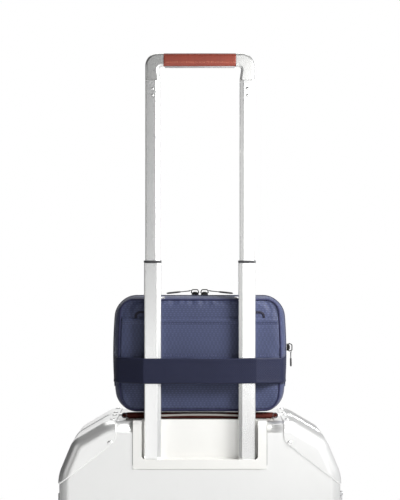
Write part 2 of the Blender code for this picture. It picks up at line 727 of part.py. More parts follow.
def main():
    for old in list(bpy.data.objects):
        bpy.data.objects.remove(old)

    rear = body("rear_case")
    front = body("front_case", (HINGE_X, 0, CASE_MIDDLE), rear)
    levers = {
        name: body("latch_lever_" + name, (LEVER_X, LEVER_Y, height), rear)
        for name, height in LATCH_HEIGHTS.items()
    }
    grab = body("grab_handle", (0, GRAB_Y, CASE_TOP), rear)
    lower_stage = body("lower_stage", (0, TUBE_Y, WELL_FLOOR), rear)
    upper_stage = body("upper_stage", (0, TUBE_Y, COLLAR_BOTTOM), lower_stage)
    release = body("release_bar", (0, TUBE_Y, GRIP_TOP - GRIP_HEIGHT), upper_stage)
    rods = body("push_rods", (0, TUBE_Y, UPPER_TUBE_BOTTOM), upper_stage)
    bag = body("soft_case", (0, BAG_MIDDLE, BAG_BOTTOM), grab)

    sliders, pulls = {}, {}
    pivot_z = TOP_ZIP_Z + 6.4
    for name, sign in SIDES:
        x = sign * SLIDER_X
        sliders[name] = body("zip_slider_" + name, (x, BAG_MIDDLE, TOP_ZIP_Z), bag)
        at = (x + sign * 4.6, BAG_MIDDLE, pivot_z)
        pulls[name] = body("zip_pull_" + name, at, sliders[name])
    sliders["side"] = body("side_zip_slider", (SIDE_ZIP_X, BAG_MIDDLE, SIDE_ZIP_Z), bag)
    at = (SIDE_ZIP_X + 6.4, BAG_MIDDLE, SIDE_ZIP_Z - 4.6)
    pulls["side"] = body("side_zip_pull", at, sliders["side"])

    make_shells(rear, front)
    make_frames(rear, front)
    make_board(rear)
    for half, side, parent in (("rear", -1, rear), ("front", 1, front)):
        make_corner_guards(half, side, parent)
        make_wheel_housings(half, side, parent)
    make_hinge(rear, front)
    make_latches(rear, front, levers)
    make_well(rear)
    make_guides(rear)
    make_lower_stage(lower_stage)
    make_upper_stage(upper_stage)
    make_grip(upper_stage, release, rods)
    make_grab_handle(rear, grab)
    for corner in CASTER_TURN:
        parent = rear if corner.startswith("rear") else front
        swivel = body("swivel_" + corner, (*caster_point(corner), 42.0), parent)
        centre = caster_point(corner, CASTER_TRAIL)
        wheel = body("wheels_" + corner, (*centre, WHEEL_RADIUS), swivel)
        make_caster(corner, swivel, wheel)
    make_bag(bag)
    make_strap(bag)
    make_zips(sliders, pulls)


main()
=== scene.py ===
# %% [markdown]
# # A rolling case, its pull handle and the small soft case belted to it
#
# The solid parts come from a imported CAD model, which is loaded as a fixed frame. This file gives
# them their looks: fine surfaces, cloth, leather, stitches and metal. Each cell makes one piece or
# one finish, and every piece rides on the CAD body that carries it.

# %% Load the frame
import math

import bmesh
import bpy
from mathutils import Matrix, Vector, noise
from mathutils.bvhtree import BVHTree


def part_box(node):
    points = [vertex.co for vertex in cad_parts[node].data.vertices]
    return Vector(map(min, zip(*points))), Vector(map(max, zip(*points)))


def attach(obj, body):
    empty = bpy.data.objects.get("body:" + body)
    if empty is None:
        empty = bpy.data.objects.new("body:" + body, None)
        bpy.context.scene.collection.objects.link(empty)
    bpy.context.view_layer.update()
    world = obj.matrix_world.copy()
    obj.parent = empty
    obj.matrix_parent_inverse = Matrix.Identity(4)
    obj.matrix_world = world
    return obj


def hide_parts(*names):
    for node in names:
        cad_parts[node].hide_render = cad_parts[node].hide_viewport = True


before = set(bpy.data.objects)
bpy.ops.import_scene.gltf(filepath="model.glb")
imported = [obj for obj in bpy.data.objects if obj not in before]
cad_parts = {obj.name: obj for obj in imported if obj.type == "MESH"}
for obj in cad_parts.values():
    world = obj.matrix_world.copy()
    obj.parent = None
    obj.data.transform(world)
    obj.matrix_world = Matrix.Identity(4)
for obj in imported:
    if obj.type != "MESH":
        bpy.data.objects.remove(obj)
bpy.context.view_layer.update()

MM = 0.001
SIDES = (("left", -1), ("right", 1))
HALVES = (("rear", -1), ("front", 1))
case_low, case_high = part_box("rear_frame")
MIDDLE_X = (case_low.x + case_high.x) / 2 / MM
print("The case is", round((case_high.x - case_low.x) / MM, 1), "mm wide")

# %% [markdown]
# ## Camera
#
# The camera stands level with the soft case and looks straight at the handle's side. A short lens
# would spread the case's edges apart, so a long lens from almost three metres is used, which shows
# hardly any perspective. The floor and the lights come last, when there is something to light.

# %% Camera
CAMERA_AT = Vector((0.0, -2.805, 0.786))
LENS, SENSOR_HEIGHT = 141.0, 36.0

camera_data = bpy.data.cameras.new("camera")
camera_data.sensor_fit = "VERTICAL"
camera_data.sensor_height = SENSOR_HEIGHT
camera_data.lens = LENS
camera_data.clip_end = 50.0
camera = bpy.data.objects.new("camera", camera_data)
bpy.context.scene.collection.objects.link(camera)
camera.location = CAMERA_AT
camera.rotation_euler = (math.radians(90), 0, 0)
bpy.context.scene.camera = camera
print("Camera at", tuple(CAMERA_AT))


# %% [markdown]
# ## Shader sums
#
# A procedural finish is mostly arithmetic on sockets. `Sum` wraps a socket, so that an expression
# such as `1 - mask * 0.3` adds the Math nodes by itself. `Finish` makes a Principled material and
# has one method for every other kind of node.

# %% A small language for shader nodes
class Sum:
    """A shader value that can stand in a Python expression."""

    def __init__(self, finish, socket):
        self.finish, self.socket = finish, socket

    def math(self, operation, other=None, swapped=False):
        values = [self] if other is None else [other, self] if swapped else [self, other]
        return self.finish.add("ShaderNodeMath", {"operation": operation}, dict(enumerate(values)))

    def __add__(self, other):
        return self.math("ADD", other)

    def __sub__(self, other):
        return self.math("SUBTRACT", other)

    def __rsub__(self, other):
        return self.math("SUBTRACT", other, swapped=True)

    def __mul__(self, other):
        return self.math("MULTIPLY", other)

    __radd__, __rmul__ = __add__, __mul__

    def __truediv__(self, other):
        return self.math("DIVIDE", other)

    def __pow__(self, other):
        return self.math("POWER", other)

    def __abs__(self):
        return self.math("ABSOLUTE")


class Finish:
    """A Principled material, and the nodes that vary it over a surface."""

    def __init__(self, name, colour, roughness, metallic=0.0):
        self.material = bpy.data.materials.new(name)
        self.material.use_nodes = True
        self.tree = self.material.node_tree
        self.shader = self.tree.nodes["Principled BSDF"]
        self.material.diffuse_color = (*colour, 1.0)
        self.set("Base Color", (*colour, 1.0))
        self.set("Roughness", roughness)
        self.set("Metallic", metallic)

    def link(self, value, socket):
        if isinstance(value, Sum):
            self.tree.links.new(value.socket, socket)
        else:
            socket.default_value = value

    def set(self, name, value):
        self.link(value, self.shader.inputs[name])

    def add(self, kind, settings, values, output=0):
        """Any node: its settings first, then its sockets' values or links. Gives one output."""
        node = self.tree.nodes.new(kind)
        for key, value in settings.items():
            if key == "stops":
                ramp = node.color_ramp.elements
                for stop, (place, grey) in zip(ramp, value):
                    stop.position, stop.color = place, (grey, grey, grey, 1.0)
            else:
                setattr(node, key, value)
        for key, value in values.items():
            self.link(value, node.inputs[key])
        return Sum(self, node.outputs[output])

    def place(self, output="Object"):
        node = self.tree.nodes.new("ShaderNodeTexCoord")
        return Sum(self, node.outputs[output])

    def axes(self, vector):
        """The X, Y and Z of a vector, as three sums."""
        node = self.tree.nodes.new("ShaderNodeSeparateXYZ")
        self.link(vector, node.inputs[0])
        return [Sum(self, out) for out in node.outputs]

    def vector(self, x=0.0, y=0.0, z=0.0):
        return self.add("ShaderNodeCombineXYZ", {}, {0: x, 1: y, 2: z})

    def noise(self, vector, scale, detail=3.0, roughness=0.5):
        values = {"Vector": vector, "Scale": scale, "Detail": detail, "Roughness": roughness}
        return self.add("ShaderNodeTexNoise", {}, values)

    def cells(self, vector, scale):
        return self.add("ShaderNodeTexVoronoi", {}, {"Vector": vector, "Scale": scale})

    def ramp(self, value, stops):
        """Two stops, each a place and a grey from 0 to 1."""
        return self.add("ShaderNodeValToRGB", {"stops": stops}, {0: value})

    def mix(self, factor, first, second):
        """Two colours mixed by a factor from 0 to 1."""
        settings = {"data_type": "RGBA", "clamp_factor": True}
        return self.add("ShaderNodeMix", settings, {0: factor, 6: first, 7: second}, output=2)

    def stretch(self, vector, scale):
        settings = {"operation": "MULTIPLY"}
        return self.add("ShaderNodeVectorMath", settings, {0: vector, 1: scale})

    def bump(self, height, distance, strength=1.0):
        """Height in millimetres into the shader's normal."""
        values = {"Height": height, "Distance": distance * MM, "Strength": strength}
        self.set("Normal", self.add("ShaderNodeBump", {}, values))


def shade(colour, factor):
    """A colour made darker or lighter by a factor."""
    return tuple(min(c * factor, 1.0) for c in colour[:3]) + (1.0,)


print("Shader helpers are ready")

# %% [markdown]
# ## Metal finishes
#
# The shells, corner plates and tubes are aluminium with a fine satin anodised coat. Up close it
# has soft blotches and hair-fine scratches. Those go into the roughness and a very low bump, and
# the colour changes by only a few per cent, or the case would look dirty.

# %% Aluminium
def aluminium(name, colour, roughness, metallic, grain=(1.0, 1.0, 1.0), strength=0.25):
    finish = Finish(name, colour, roughness, metallic)
    place = finish.place()
    blotch = finish.noise(place, 9.0, 4.0)
    speck = finish.noise(finish.stretch(place, grain), 900.0, 2.0, 0.7)
    scuff = finish.ramp(finish.noise(finish.stretch(place, (1.0, 1.0, 0.2)), 70.0, 5.0, 0.7),
                        [(0.62, 0.0), (0.80, 1.0)])
    tone = finish.mix(blotch, shade(colour, 0.955), shade(colour, 1.03))
    finish.set("Base Color", finish.mix(scuff * 0.25, tone, shade(colour, 0.90)))
    finish.set("Roughness", roughness - 0.05 + blotch * 0.06 + speck * 0.05 + scuff * 0.08)
    finish.bump(speck + scuff * 0.4, 0.02, strength)
    return finish.material


shell_metal = aluminium("shell_aluminium", (0.76, 0.76, 0.748), 0.38, 0.78)
plate_metal = aluminium("plate_aluminium", (0.80, 0.80, 0.787), 0.33, 0.80)
well_metal = aluminium("well_aluminium", (0.73, 0.725, 0.70), 0.38, 0.55)
rail_metal = aluminium("rail_aluminium", (0.78, 0.78, 0.77), 0.30, 0.95, (0.03, 1.0, 0.03), 0.2)
tube_metal = aluminium("tube_aluminium", (0.88, 0.88, 0.87), 0.25, 0.90, (1.0, 1.0, 0.02), 0.07)
grip_metal = aluminium("grip_aluminium", (0.66, 0.66, 0.645), 0.27, 0.90, strength=0.08)
rivet_metal = aluminium("rivet_aluminium", (0.80, 0.80, 0.79), 0.26, 0.95)
steel = aluminium("brushed_steel", (0.62, 0.62, 0.63), 0.28, 1.0, (0.05, 1.0, 1.0), 0.2)
strip_metal = aluminium("strip_aluminium", (0.27, 0.255, 0.235), 0.42, 0.6, (0.05, 1.0, 1.0), 0.2)
lever_metal = aluminium("lever_aluminium", (0.74, 0.74, 0.74), 0.28, 0.95)
gunmetal = aluminium("dark_metal", (0.075, 0.075, 0.08), 0.34, 0.85)
print("Metal finishes:", shell_metal.name, tube_metal.name, steel.name)

# %% [markdown]
# ## Plastics and rubber
#
# Moulded plastic has a fine even grain from the mould, and rubber is duller, with a slight mottle.

# %% Plastics
def moulded(name, colour, roughness, grain=1400.0, depth=0.03):
    finish = Finish(name, colour, roughness)
    place = finish.place()
    pebble = finish.cells(place, grain)
    cloud = finish.noise(place, 30.0, 3.0)
    finish.set("Base Color", finish.mix(cloud, shade(colour, 0.85), shade(colour, 1.25)))
    finish.set("Roughness", roughness - 0.06 + cloud * 0.12)
    finish.bump(pebble, depth, 0.35)
    return finish.material


black_plastic = moulded("black_plastic", (0.022, 0.022, 0.024), 0.42)
grey_plastic = moulded("grey_plastic", (0.20, 0.20, 0.205), 0.45)
rubber = moulded("rubber", (0.03, 0.03, 0.032), 0.72, 900.0, 0.05)
pull_rubber = moulded("pull_rubber", (0.016, 0.015, 0.016), 0.6)
tyre = moulded("tyre_rubber", (0.045, 0.045, 0.048), 0.62, 700.0, 0.04)
print("Plastic finishes are ready")

# %% [markdown]
# ## Leather
#
# Vegetable-tanned leather has a pebble grain: round cells with creases between them. Cells of a
# Voronoi texture give the pebbles, and a slow noise makes some patches darker, where hands rub.

# %% Leather
def leather(name, colour, roughness, pebble=620.0, gloss=0.4):
    finish = Finish(name, colour, roughness)
    finish.set("Specular IOR Level", gloss)
    place = finish.place()
    warped = finish.add("ShaderNodeVectorMath", {"operation": "ADD"}, {
        0: place, 1: finish.vector(finish.noise(place, 300.0, 2.0) * 0.0012, 0.0,
                                   finish.noise(place, 260.0, 2.0) * 0.0012)})
    cells = finish.cells(warped, pebble)
    crease = finish.ramp(cells, [(0.25, 0.0), (0.75, 1.0)])
    patch = finish.noise(place, 42.0, 4.0, 0.6)
    rubbed = finish.ramp(finish.noise(place, 14.0, 3.0), [(0.35, 0.0), (0.7, 1.0)])
    tone = finish.mix(patch, shade(colour, 0.72), shade(colour, 1.28))
    tone = finish.mix(crease * 0.35, tone, shade(colour, 0.55))
    finish.set("Base Color", finish.mix(rubbed * 0.25, tone, shade(colour, 0.8)))
    finish.set("Roughness", roughness - 0.08 + crease * 0.12 + rubbed * 0.08)
    finish.bump(1.0 - cells, 0.22, 0.55)
    return finish.material


tan_leather = leather("tan_leather", (0.158, 0.027, 0.015), 0.50)
# The grab handle's red-brown leather is made far darker here: that darkness is painted shade, for
# the shadow the soft case throws on it.
brown_leather_painted_shade = leather("brown_leather_painted_shade", (0.055, 0.012, 0.009), 0.62, 620.0, 0.06)
print("Leather finishes are ready")

# %% [markdown]
# ## Woven cloth
#
# The soft case is a nylon with small raised dashes in a grid, and a fine plain weave between them.
# Its pattern lies in the piece's own UV map, which is in metres, so threads follow the cloth over
# every edge. Both patterns are built from waves, because a wave's period is the size of a thread.

# %% Nylon
THREAD_PITCH, DASH_PITCH, DASH_ROW = 0.9, 5.2, 2.8


def wave(finish, value, period):
    """A smooth wave from 0 to 1 with that period in millimetres."""
    return (value * (math.tau / (period * MM))).math("SINE") * 0.5 + 0.5


def nylon(name, colour, roughness, dashes=0.75):
    finish = Finish(name, colour, roughness)
    place = finish.place()
    across, along, _ = finish.axes(finish.place("UV"))
    warp, weft = wave(finish, across, THREAD_PITCH), wave(finish, along, THREAD_PITCH)
    thread = warp * (1.0 - weft) + weft * (1.0 - warp)
    shift = (along / (2 * DASH_ROW * MM)).math("FLOOR").math("MODULO", 2.0) * DASH_PITCH / 2 * MM
    dash = wave(finish, across + shift, DASH_PITCH) ** 1.4 * wave(finish, along, DASH_ROW) ** 2.0
    cloud = finish.noise(place, 26.0, 4.0, 0.55)
    slub = finish.noise(finish.stretch(finish.place("UV"), (12.0, 1.0, 1.0)), 160.0, 2.0)
    tone = finish.mix(cloud, shade(colour, 0.80), shade(colour, 1.22))
    tone = finish.mix(dash * dashes, tone, shade(colour, 2.3))
    tone = finish.mix((1.0 - thread) * 0.25, tone, shade(colour, 0.5))
    finish.set("Base Color", finish.mix(slub * 0.22, tone, shade(colour, 1.5)))
    finish.set("Roughness", roughness - 0.05 + thread * 0.08 - dash * 0.08)
    finish.set("Specular IOR Level", 0.3)
    finish.set("Sheen Weight", 0.08)
    finish.set("Sheen Roughness", 0.45)
    finish.bump(thread * 0.5 + dash * 0.7 + cloud * 0.3, 0.14, 0.6)
    return finish.material


case_nylon = nylon("navy_nylon", (0.0245, 0.0305, 0.067), 0.60)
pocket_nylon = nylon("navy_nylon_pocket", (0.0235, 0.0295, 0.065), 0.60)
lining_cloth = nylon("grey_lining", (0.085, 0.085, 0.095), 0.80, 0.15)
print("Nylon finishes are ready")

# %% [markdown]
# ## Webbing
#
# Webbing is woven narrow, with ribs that run diagonally. A slanted wave gives them. On the strap
# they turn back every few millimetres, so the slant follows a zigzag instead of a straight line.

# %% Webbing
def webbing(name, colour, roughness, rib=1.9, slope=1.0, zigzag=0.0):
    finish = Finish(name, colour, roughness)
    across, along, _ = finish.axes(finish.place("UV"))
    lean = along * slope
    if zigzag:
        lean = abs((along / (zigzag * MM)).math("FRACT") - 0.5) * (zigzag * MM * slope)
    twill = wave(finish, across + lean, rib)
    fine = wave(finish, across - along * slope, 0.7)
    cloud = finish.noise(finish.place(), 32.0, 4.0, 0.6)
    streak = finish.noise(finish.stretch(finish.place("UV"), (1.0, 14.0, 1.0)), 90.0, 2.0)
    tone = finish.mix(cloud, shade(colour, 0.75), shade(colour, 1.3))
    tone = finish.mix(twill * 0.65, tone, shade(colour, 2.3))
    finish.set("Base Color", finish.mix(streak * 0.25, tone, shade(colour, 0.6)))
    finish.set("Roughness", roughness + twill * 0.06 - fine * 0.05)
    finish.set("Specular IOR Level", 0.2)
    finish.set("Sheen Weight", 0.03)
    finish.bump(twill + fine * 0.3, 0.16, 0.6)
    return finish.material


strap_webbing = webbing("navy_strap_twill", (0.0044, 0.0058, 0.0185), 0.55, 2.6, 0.9, 8.75)
loop_webbing = webbing("dark_loop_webbing", (0.008, 0.008, 0.016), 0.66, 1.2)
piping_cloth = webbing("piping_cloth", (0.010, 0.011, 0.034), 0.55, 1.6)
tape_cloth = webbing("zip_tape_cloth", (0.010, 0.011, 0.028), 0.70, 1.0, slope=0.0)
print("Webbing finishes are ready")

# %% [markdown]
# ## Thread and small metal
#
# Stitches, studs and zip teeth are too small to show a weave or a grain, but a fine mottle in the
# colour and roughness keeps them from looking like plastic beads.

# %% Thread and small metal
def plain(name, colour, roughness, metallic=0.0, speck=800.0):
    finish = Finish(name, colour, roughness, metallic)
    grain = finish.noise(finish.place(), speck, 2.0)
    finish.set("Base Color", finish.mix(grain, shade(colour, 0.8), shade(colour, 1.2)))
    finish.set("Roughness", roughness - 0.04 + grain * 0.08)
    finish.bump(grain, 0.03, 0.3)
    return finish.material


navy_thread = plain("navy_thread", (0.050, 0.056, 0.125), 0.55)
tan_thread = plain("tan_thread", (0.55, 0.22, 0.13), 0.55)
brown_thread = plain("brown_thread", (0.16, 0.05, 0.03), 0.6)
stud_metal = plain("stud_metal", (0.80, 0.80, 0.82), 0.18, 1.0)
zip_metal = plain("zip_metal", (0.026, 0.025, 0.024), 0.34, 0.9)
print("Thread and small metal finishes are ready")

# %% [markdown]
# ## Helpers for meshes
#
# Lengths are written in millimetres, measured from the case's middle plane. Most pieces are a loft
# through rings of points, because a loft holds an extrusion, a lathed part and a pillow alike. Its
# outlines have their corners rounded first, with as many steps as the eye can see.

# %% Outlines and lofts
def rounded(corners, inset=0.0, steps=8):
    """A closed outline from (u, v, radius) corners given anticlockwise, moved in by inset."""
    points = []
    for i, (u, v, radius) in enumerate(corners):
        here = Vector((u, v))
        before = (here - Vector(corners[i - 1][:2])).normalized()
        after = (Vector(corners[(i + 1) % len(corners)][:2]) - here).normalized()
        half = math.atan2(before.cross(after), before.dot(after)) / 2
        inward = Vector((-before.y - after.y, before.x + after.x)) / (1 + before.dot(after))
        corner = here + inward * inset
        if radius <= 0:
            points.append((corner.x, corner.y))
            continue
        side = 1.0 if half > 0 else -1.0
        fillet = max(radius - side * inset, 0.2)
        start = corner - before * fillet * abs(math.tan(half))
        centre = start + Vector((-before.y, before.x)) * side * fillet
        for k in range(steps + 1):
            spoke = Matrix.Rotation(2 * half * k / steps, 2) @ (start - centre)
            points.append((centre.x + spoke.x, centre.y + spoke.y))
    return points


def rectangle(width, height, radius=0.0, centre=(0.0, 0.0)):
    u, v, w, h = *centre, width / 2, height / 2
    return [(u - w, v - h, radius), (u + w, v - h, radius),
            (u + w, v + h, radius), (u - w, v + h, radius)]


def turns(count):
    """Angles spaced evenly round a full turn."""
    return [math.tau * i / count for i in range(count)]


def circle(radius, centre=(0.0, 0.0), sides=32):
    return [(centre[0] + radius * math.cos(a), centre[1] + radius * math.sin(a))
            for a in turns(sides)]


def fuller(value, power):
    """A cosine or sine flattened, so that a ring of them is fuller than an ellipse."""
    return math.copysign(abs(value) ** power, value)


def on_axis(axis, u, v, w):
    return {"X": (w, u, v), "Y": (u, w, v), "Z": (u, v, w)}[axis]


def loft(rings, closed=False, caps=True):
    """A bmesh through rings of points, with flat ends or joined end to end."""
    bm = bmesh.new()
    loops = [[bm.verts.new(p) for p in ring] for ring in rings]
    for a, b in list(zip(loops, loops[1:])) + ([(loops[-1], loops[0])] if closed else []):
        for i in range(len(a)):
            j = (i + 1) % len(a)
            bm.faces.new((a[i], a[j], b[j], b[i]))
    if caps and not closed:
        bm.faces.new(loops[0])
        bm.faces.new(loops[-1])
    bmesh.ops.recalc_face_normals(bm, faces=bm.faces)
    return bm


def prism(outline, axis, low, high):
    return loft([[on_axis(axis, u, v, w) for u, v in outline] for w in (low, high)])


def soft_rings(outline, axis, low, high, edge, rounds=4):
    """Rings of a prism whose two end faces have rounded edges. outline(inset) gives its shape."""
    rings = []
    for end, side in ((low, 1), (high, -1)):
        part = []
        for k in range(rounds + 1):
            angle = math.pi / 2 * k / rounds
            w = end + side * edge * (1 - math.cos(angle))
            part.append([on_axis(axis, u, v, w) for u, v in outline(edge * (1 - math.sin(angle)))])
        rings += part if side > 0 else part[::-1]
    return rings


def soft_prism(corners, axis, low, high, edge, steps=8, rounds=4):
    return loft(soft_rings(lambda inset: rounded(corners, inset, steps), axis, low, high, edge,
                           rounds))


def turned(profile, axis, centre, sides=48):
    """A solid of revolution from a closed (radius, height) profile."""
    rings = [[on_axis(axis, u, v, h) for u, v in circle(r, centre, sides)] for r, h in profile]
    return loft(rings, closed=True)


def merged(*parts):
    """Several bmeshes as one."""
    bm = bmesh.new()
    for part in parts:
        mesh = bpy.data.meshes.new("part")
        part.to_mesh(mesh)
        part.free()
        bm.from_mesh(mesh)
        bpy.data.meshes.remove(mesh)
    return bm


print("Outline and loft helpers are ready")

# %% [markdown]
# ## Objects, modifiers and bodies
#
# `new_object` turns a bmesh in millimetres into an object in metres, at the origin, with its place
# in its mesh. Modifiers round its edges or cut holes, and are turned into plain mesh at once, so
# that nothing is left to change later. `finish_piece` gives it a material and the body that it
# rides on, and hides the CAD node that it stands for.

# %% Objects and modifiers
def mesh_from(name, bm, smooth):
    """A bmesh as a mesh that is shaded smooth, except at edges sharper than an angle."""
    mesh = bpy.data.meshes.new(name)
    bm.to_mesh(mesh)
    bm.free()
    mesh.shade_smooth()
    mesh.set_sharp_from_angle(angle=math.radians(smooth))
    return mesh


def shown(name, mesh):
    made = bpy.data.objects.new(name, mesh)
    bpy.context.scene.collection.objects.link(made)
    return made


def new_object(name, bm, smooth=35.0, place=None):
    """A bmesh in millimetres as an object at the origin, in metres, with its place in its mesh."""
    bmesh.ops.remove_doubles(bm, verts=bm.verts, dist=0.0005)
    if place is not None:
        bm.transform(place)
    bm.transform(Matrix.Scale(MM, 4) @ Matrix.Translation((MIDDLE_X, 0, 0)))
    return shown(name, mesh_from(name, bm, smooth))


def applied(obj):
    """The object with its modifiers turned into plain mesh."""
    graph = bpy.context.evaluated_depsgraph_get()
    mesh = bpy.data.meshes.new_from_object(obj.evaluated_get(graph))
    obj.modifiers.clear()
    obj.data = mesh
    return obj


def cut(obj, *cutters, operation="DIFFERENCE"):
    """The object without each cutter, which is a bmesh in millimetres."""
    for bm in cutters:
        cutter = new_object("cutter", bm)
        modifier = obj.modifiers.new("cut", "BOOLEAN")
        modifier.operation, modifier.object = operation, cutter
        applied(obj)
        bpy.data.objects.remove(cutter)
    return obj


def bevelled(obj, width, segments=3, angle=35.0):
    """The object with its edges rounded, where they are sharper than an angle."""
    modifier = obj.modifiers.new("edges", "BEVEL")
    modifier.width, modifier.segments = width * MM, segments
    modifier.limit_method, modifier.angle_limit = "ANGLE", math.radians(angle)
    modifier.harden_normals = False
    applied(obj)
    obj.data.shade_smooth()
    obj.data.set_sharp_from_angle(angle=math.radians(50))
    return obj


def weighted(obj):
    """Large flat faces keep flat shading next to rounded edges."""
    modifier = obj.modifiers.new("normals", "WEIGHTED_NORMAL")
    modifier.keep_sharp, modifier.weight = True, 100
    return applied(obj)


def painted(obj, material):
    obj.data.materials.clear()
    obj.data.materials.append(material)


def repaint(material, *nodes):
    """CAD nodes whose shape is right keep it, and get a better material."""
    for node in nodes:
        painted(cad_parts[node], material)


def finish_piece(obj, material, body, replaced=None):
    """A piece's material and its body. The CAD node that it stands for, if any, is hidden."""
    painted(obj, material)
    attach(obj, body)
    if replaced:
        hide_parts(replaced)
    return obj


def refined(node, material, width, body, segments=3):
    """A fine copy of a CAD node: its triangles merged into flat faces and its edges rounded."""
    bm = bmesh.new()
    bm.from_mesh(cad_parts[node].data)
    bmesh.ops.remove_doubles(bm, verts=bm.verts, dist=1e-6)
    bmesh.ops.dissolve_limit(bm, angle_limit=math.radians(1.0), verts=bm.verts, edges=bm.edges)
    mesh = bpy.data.meshes.new(node + "_fine")
    bm.to_mesh(mesh)
    bm.free()
    fine = bevelled(shown(node + "_fine", mesh), width, segments, 28.0)
    return finish_piece(fine, material, body, node)


print("Object helpers are ready")

# %% [markdown]
# ## Rows of small things
#
# Stitches, zip teeth, rivets and screws repeat along a path. One Geometry Nodes tree does them
# all: it resamples the path at a spacing, puts a small shape on each point, turned along the path
# and towards a side, and makes the result real.

# %% A node tree for rows
def tree_node(tree, kind, settings, values):
    node = tree.nodes.new(kind)
    for key, value in settings.items():
        setattr(node, key, value)
    for key, value in values.items():
        if isinstance(value, bpy.types.NodeSocket):
            tree.links.new(value, node.inputs[key])
        else:
            node.inputs[key].default_value = value
    return node.outputs


def row_tree():
    """Small shapes along a path, with their size, spacing and direction as inputs."""
    tree = bpy.data.node_groups.new("row_along_path", "GeometryNodeTree")
    wanted = [("Path", "NodeSocketGeometry"), ("Shape", "NodeSocketObject"),
              ("Spacing", "NodeSocketFloat"), ("Up", "NodeSocketVector"),
              ("Material", "NodeSocketMaterial")]
    for name, kind in wanted:
        tree.interface.new_socket(name=name, in_out="INPUT", socket_type=kind)
    tree.interface.new_socket(name="Row", in_out="OUTPUT", socket_type="NodeSocketGeometry")
    given = tree.nodes.new("NodeGroupInput").outputs
    curve = tree_node(tree, "GeometryNodeMeshToCurve", {}, {"Mesh": given["Path"]})
    points = tree_node(tree, "GeometryNodeResampleCurve", {"mode": "LENGTH"},
                       {"Curve": curve["Curve"], "Length": given["Spacing"]})
    tangent = tree_node(tree, "GeometryNodeInputTangent", {}, {})
    up = tree_node(tree, "FunctionNodeAlignRotationToVector", {"axis": "Z"},
                   {"Vector": given["Up"]})
    turned_to = tree_node(tree, "FunctionNodeAlignRotationToVector",
                          {"axis": "X", "pivot_axis": "Z"},
                          {"Rotation": up["Rotation"], "Vector": tangent["Tangent"]})
    shape = tree_node(tree, "GeometryNodeObjectInfo", {}, {"Object": given["Shape"]})
    row = tree_node(tree, "GeometryNodeInstanceOnPoints", {},
                    {"Points": points["Curve"], "Instance": shape["Geometry"],
                     "Rotation": turned_to["Rotation"]})
    real = tree_node(tree, "GeometryNodeRealizeInstances", {}, {"Geometry": row["Instances"]})
    coloured = tree_node(tree, "GeometryNodeSetMaterial", {},
                         {"Geometry": real["Geometry"], "Material": given["Material"]})
    result = tree.nodes.new("NodeGroupOutput")
    tree.links.new(coloured["Geometry"], result.inputs["Row"])
    return tree


ROW = row_tree()
ROW_INPUTS = {s.name: s.identifier for s in ROW.interface.items_tree if s.in_out == "INPUT"}


def small_shape(name, bm):
    """A shape at the origin, in metres, that a row repeats. It isn't shown itself."""
    bm.transform(Matrix.Scale(MM, 4))
    return bpy.data.objects.new(name, mesh_from(name, bm, 40.0))


def row(name, paths, shape, spacing, up, material, body, slot):
    """A row of the shape along each path of points, in millimetres, as one plain mesh."""
    rows = bmesh.new()
    for path in paths:
        bm = bmesh.new()
        points = [bm.verts.new(p) for p in path]
        for a, b in zip(points, points[1:]):
            bm.edges.new((a, b))
        guide = new_object("path", bm)
        modifier = guide.modifiers.new("row", "NODES")
        modifier.node_group = ROW
        values = {"Shape": shape, "Spacing": spacing * MM, "Up": up, "Material": material}
        for key, value in values.items():
            modifier[ROW_INPUTS[key]] = value
        applied(guide)
        rows.from_mesh(guide.data)
        bpy.data.objects.remove(guide)
    made = finish_piece(shown(name, mesh_from(name, rows, 45.0)), material, body)
    print(name, len(made.data.polygons), "faces")
    return made


def bead(length, width, height, segments=8):
    bm = bmesh.new()
    bmesh.ops.create_uvsphere(bm, u_segments=segments, v_segments=5, radius=0.5)
    if length > height:
        bm.transform(Matrix.Rotation(math.radians(90), 4, "Y"))
    bm.transform(Matrix.Diagonal((length, width, height, 1.0)))
    return bm


def lathed_shape(name, profile, sides):
    return small_shape(name, turned(profile, "Z", (0.0, 0.0), sides))


fine_stitch = small_shape("fine_stitch_shape", bead(2.1, 0.5, 0.5))
RIVET, RISE = 2.9, 1.3
rivet_head = lathed_shape("rivet_shape", [
    (0.02, -0.4), (RIVET, -0.4), (RIVET, 0.25 * RISE), (RIVET * 0.93, 0.5 * RISE),
    (RIVET * 0.75, 0.8 * RISE), (RIVET * 0.45, 0.96 * RISE), (0.02, RISE)], 16)
print("Row tree and small shapes are ready")

# %% [markdown]
# ## The hard case's shells
#
# Each half is a deep drawn tray with a generous edge radius. The CAD solid has a few flats round
# each corner, so it is replaced by the same tray with fine curves. A narrow extra ring inside
# each rounding keeps the big panels perfectly flat in the shading.

# %% Case outline
CASE_HALF_WIDTH, CASE_TOP, CASE_BOTTOM, CASE_HALF_DEPTH = 194.0, 550.0, 50.0, 115.0
CASE_CENTRE_Z = (CASE_TOP + CASE_BOTTOM) / 2
EDGE_RADIUS = 14.0
SHELL_WALL = 1.5
RIM = 10.3
TUBE_X, TUBE_Y = 65.0, -103.5


def case_corners():
    """Three corners near each end of the two sides, as (x, z, radius), anticlockwise."""
    steps = [(128.0, 0.0, 30.0), (174.0, 27.0, 25.0), (CASE_HALF_WIDTH, 75.0, 60.0)]
    right = [(x, CASE_BOTTOM + drop, r) for x, drop, r in steps]
    right += [(x, CASE_TOP - drop, r) for x, drop, r in reversed(steps)]
    return right + [(-x, z, r) for x, z, r in reversed(right)]


CASE_CORNERS = case_corners()


def case_ring(inset, y, steps=10):
    return [(x, y, z) for x, z in rounded(CASE_CORNERS, inset, steps)]


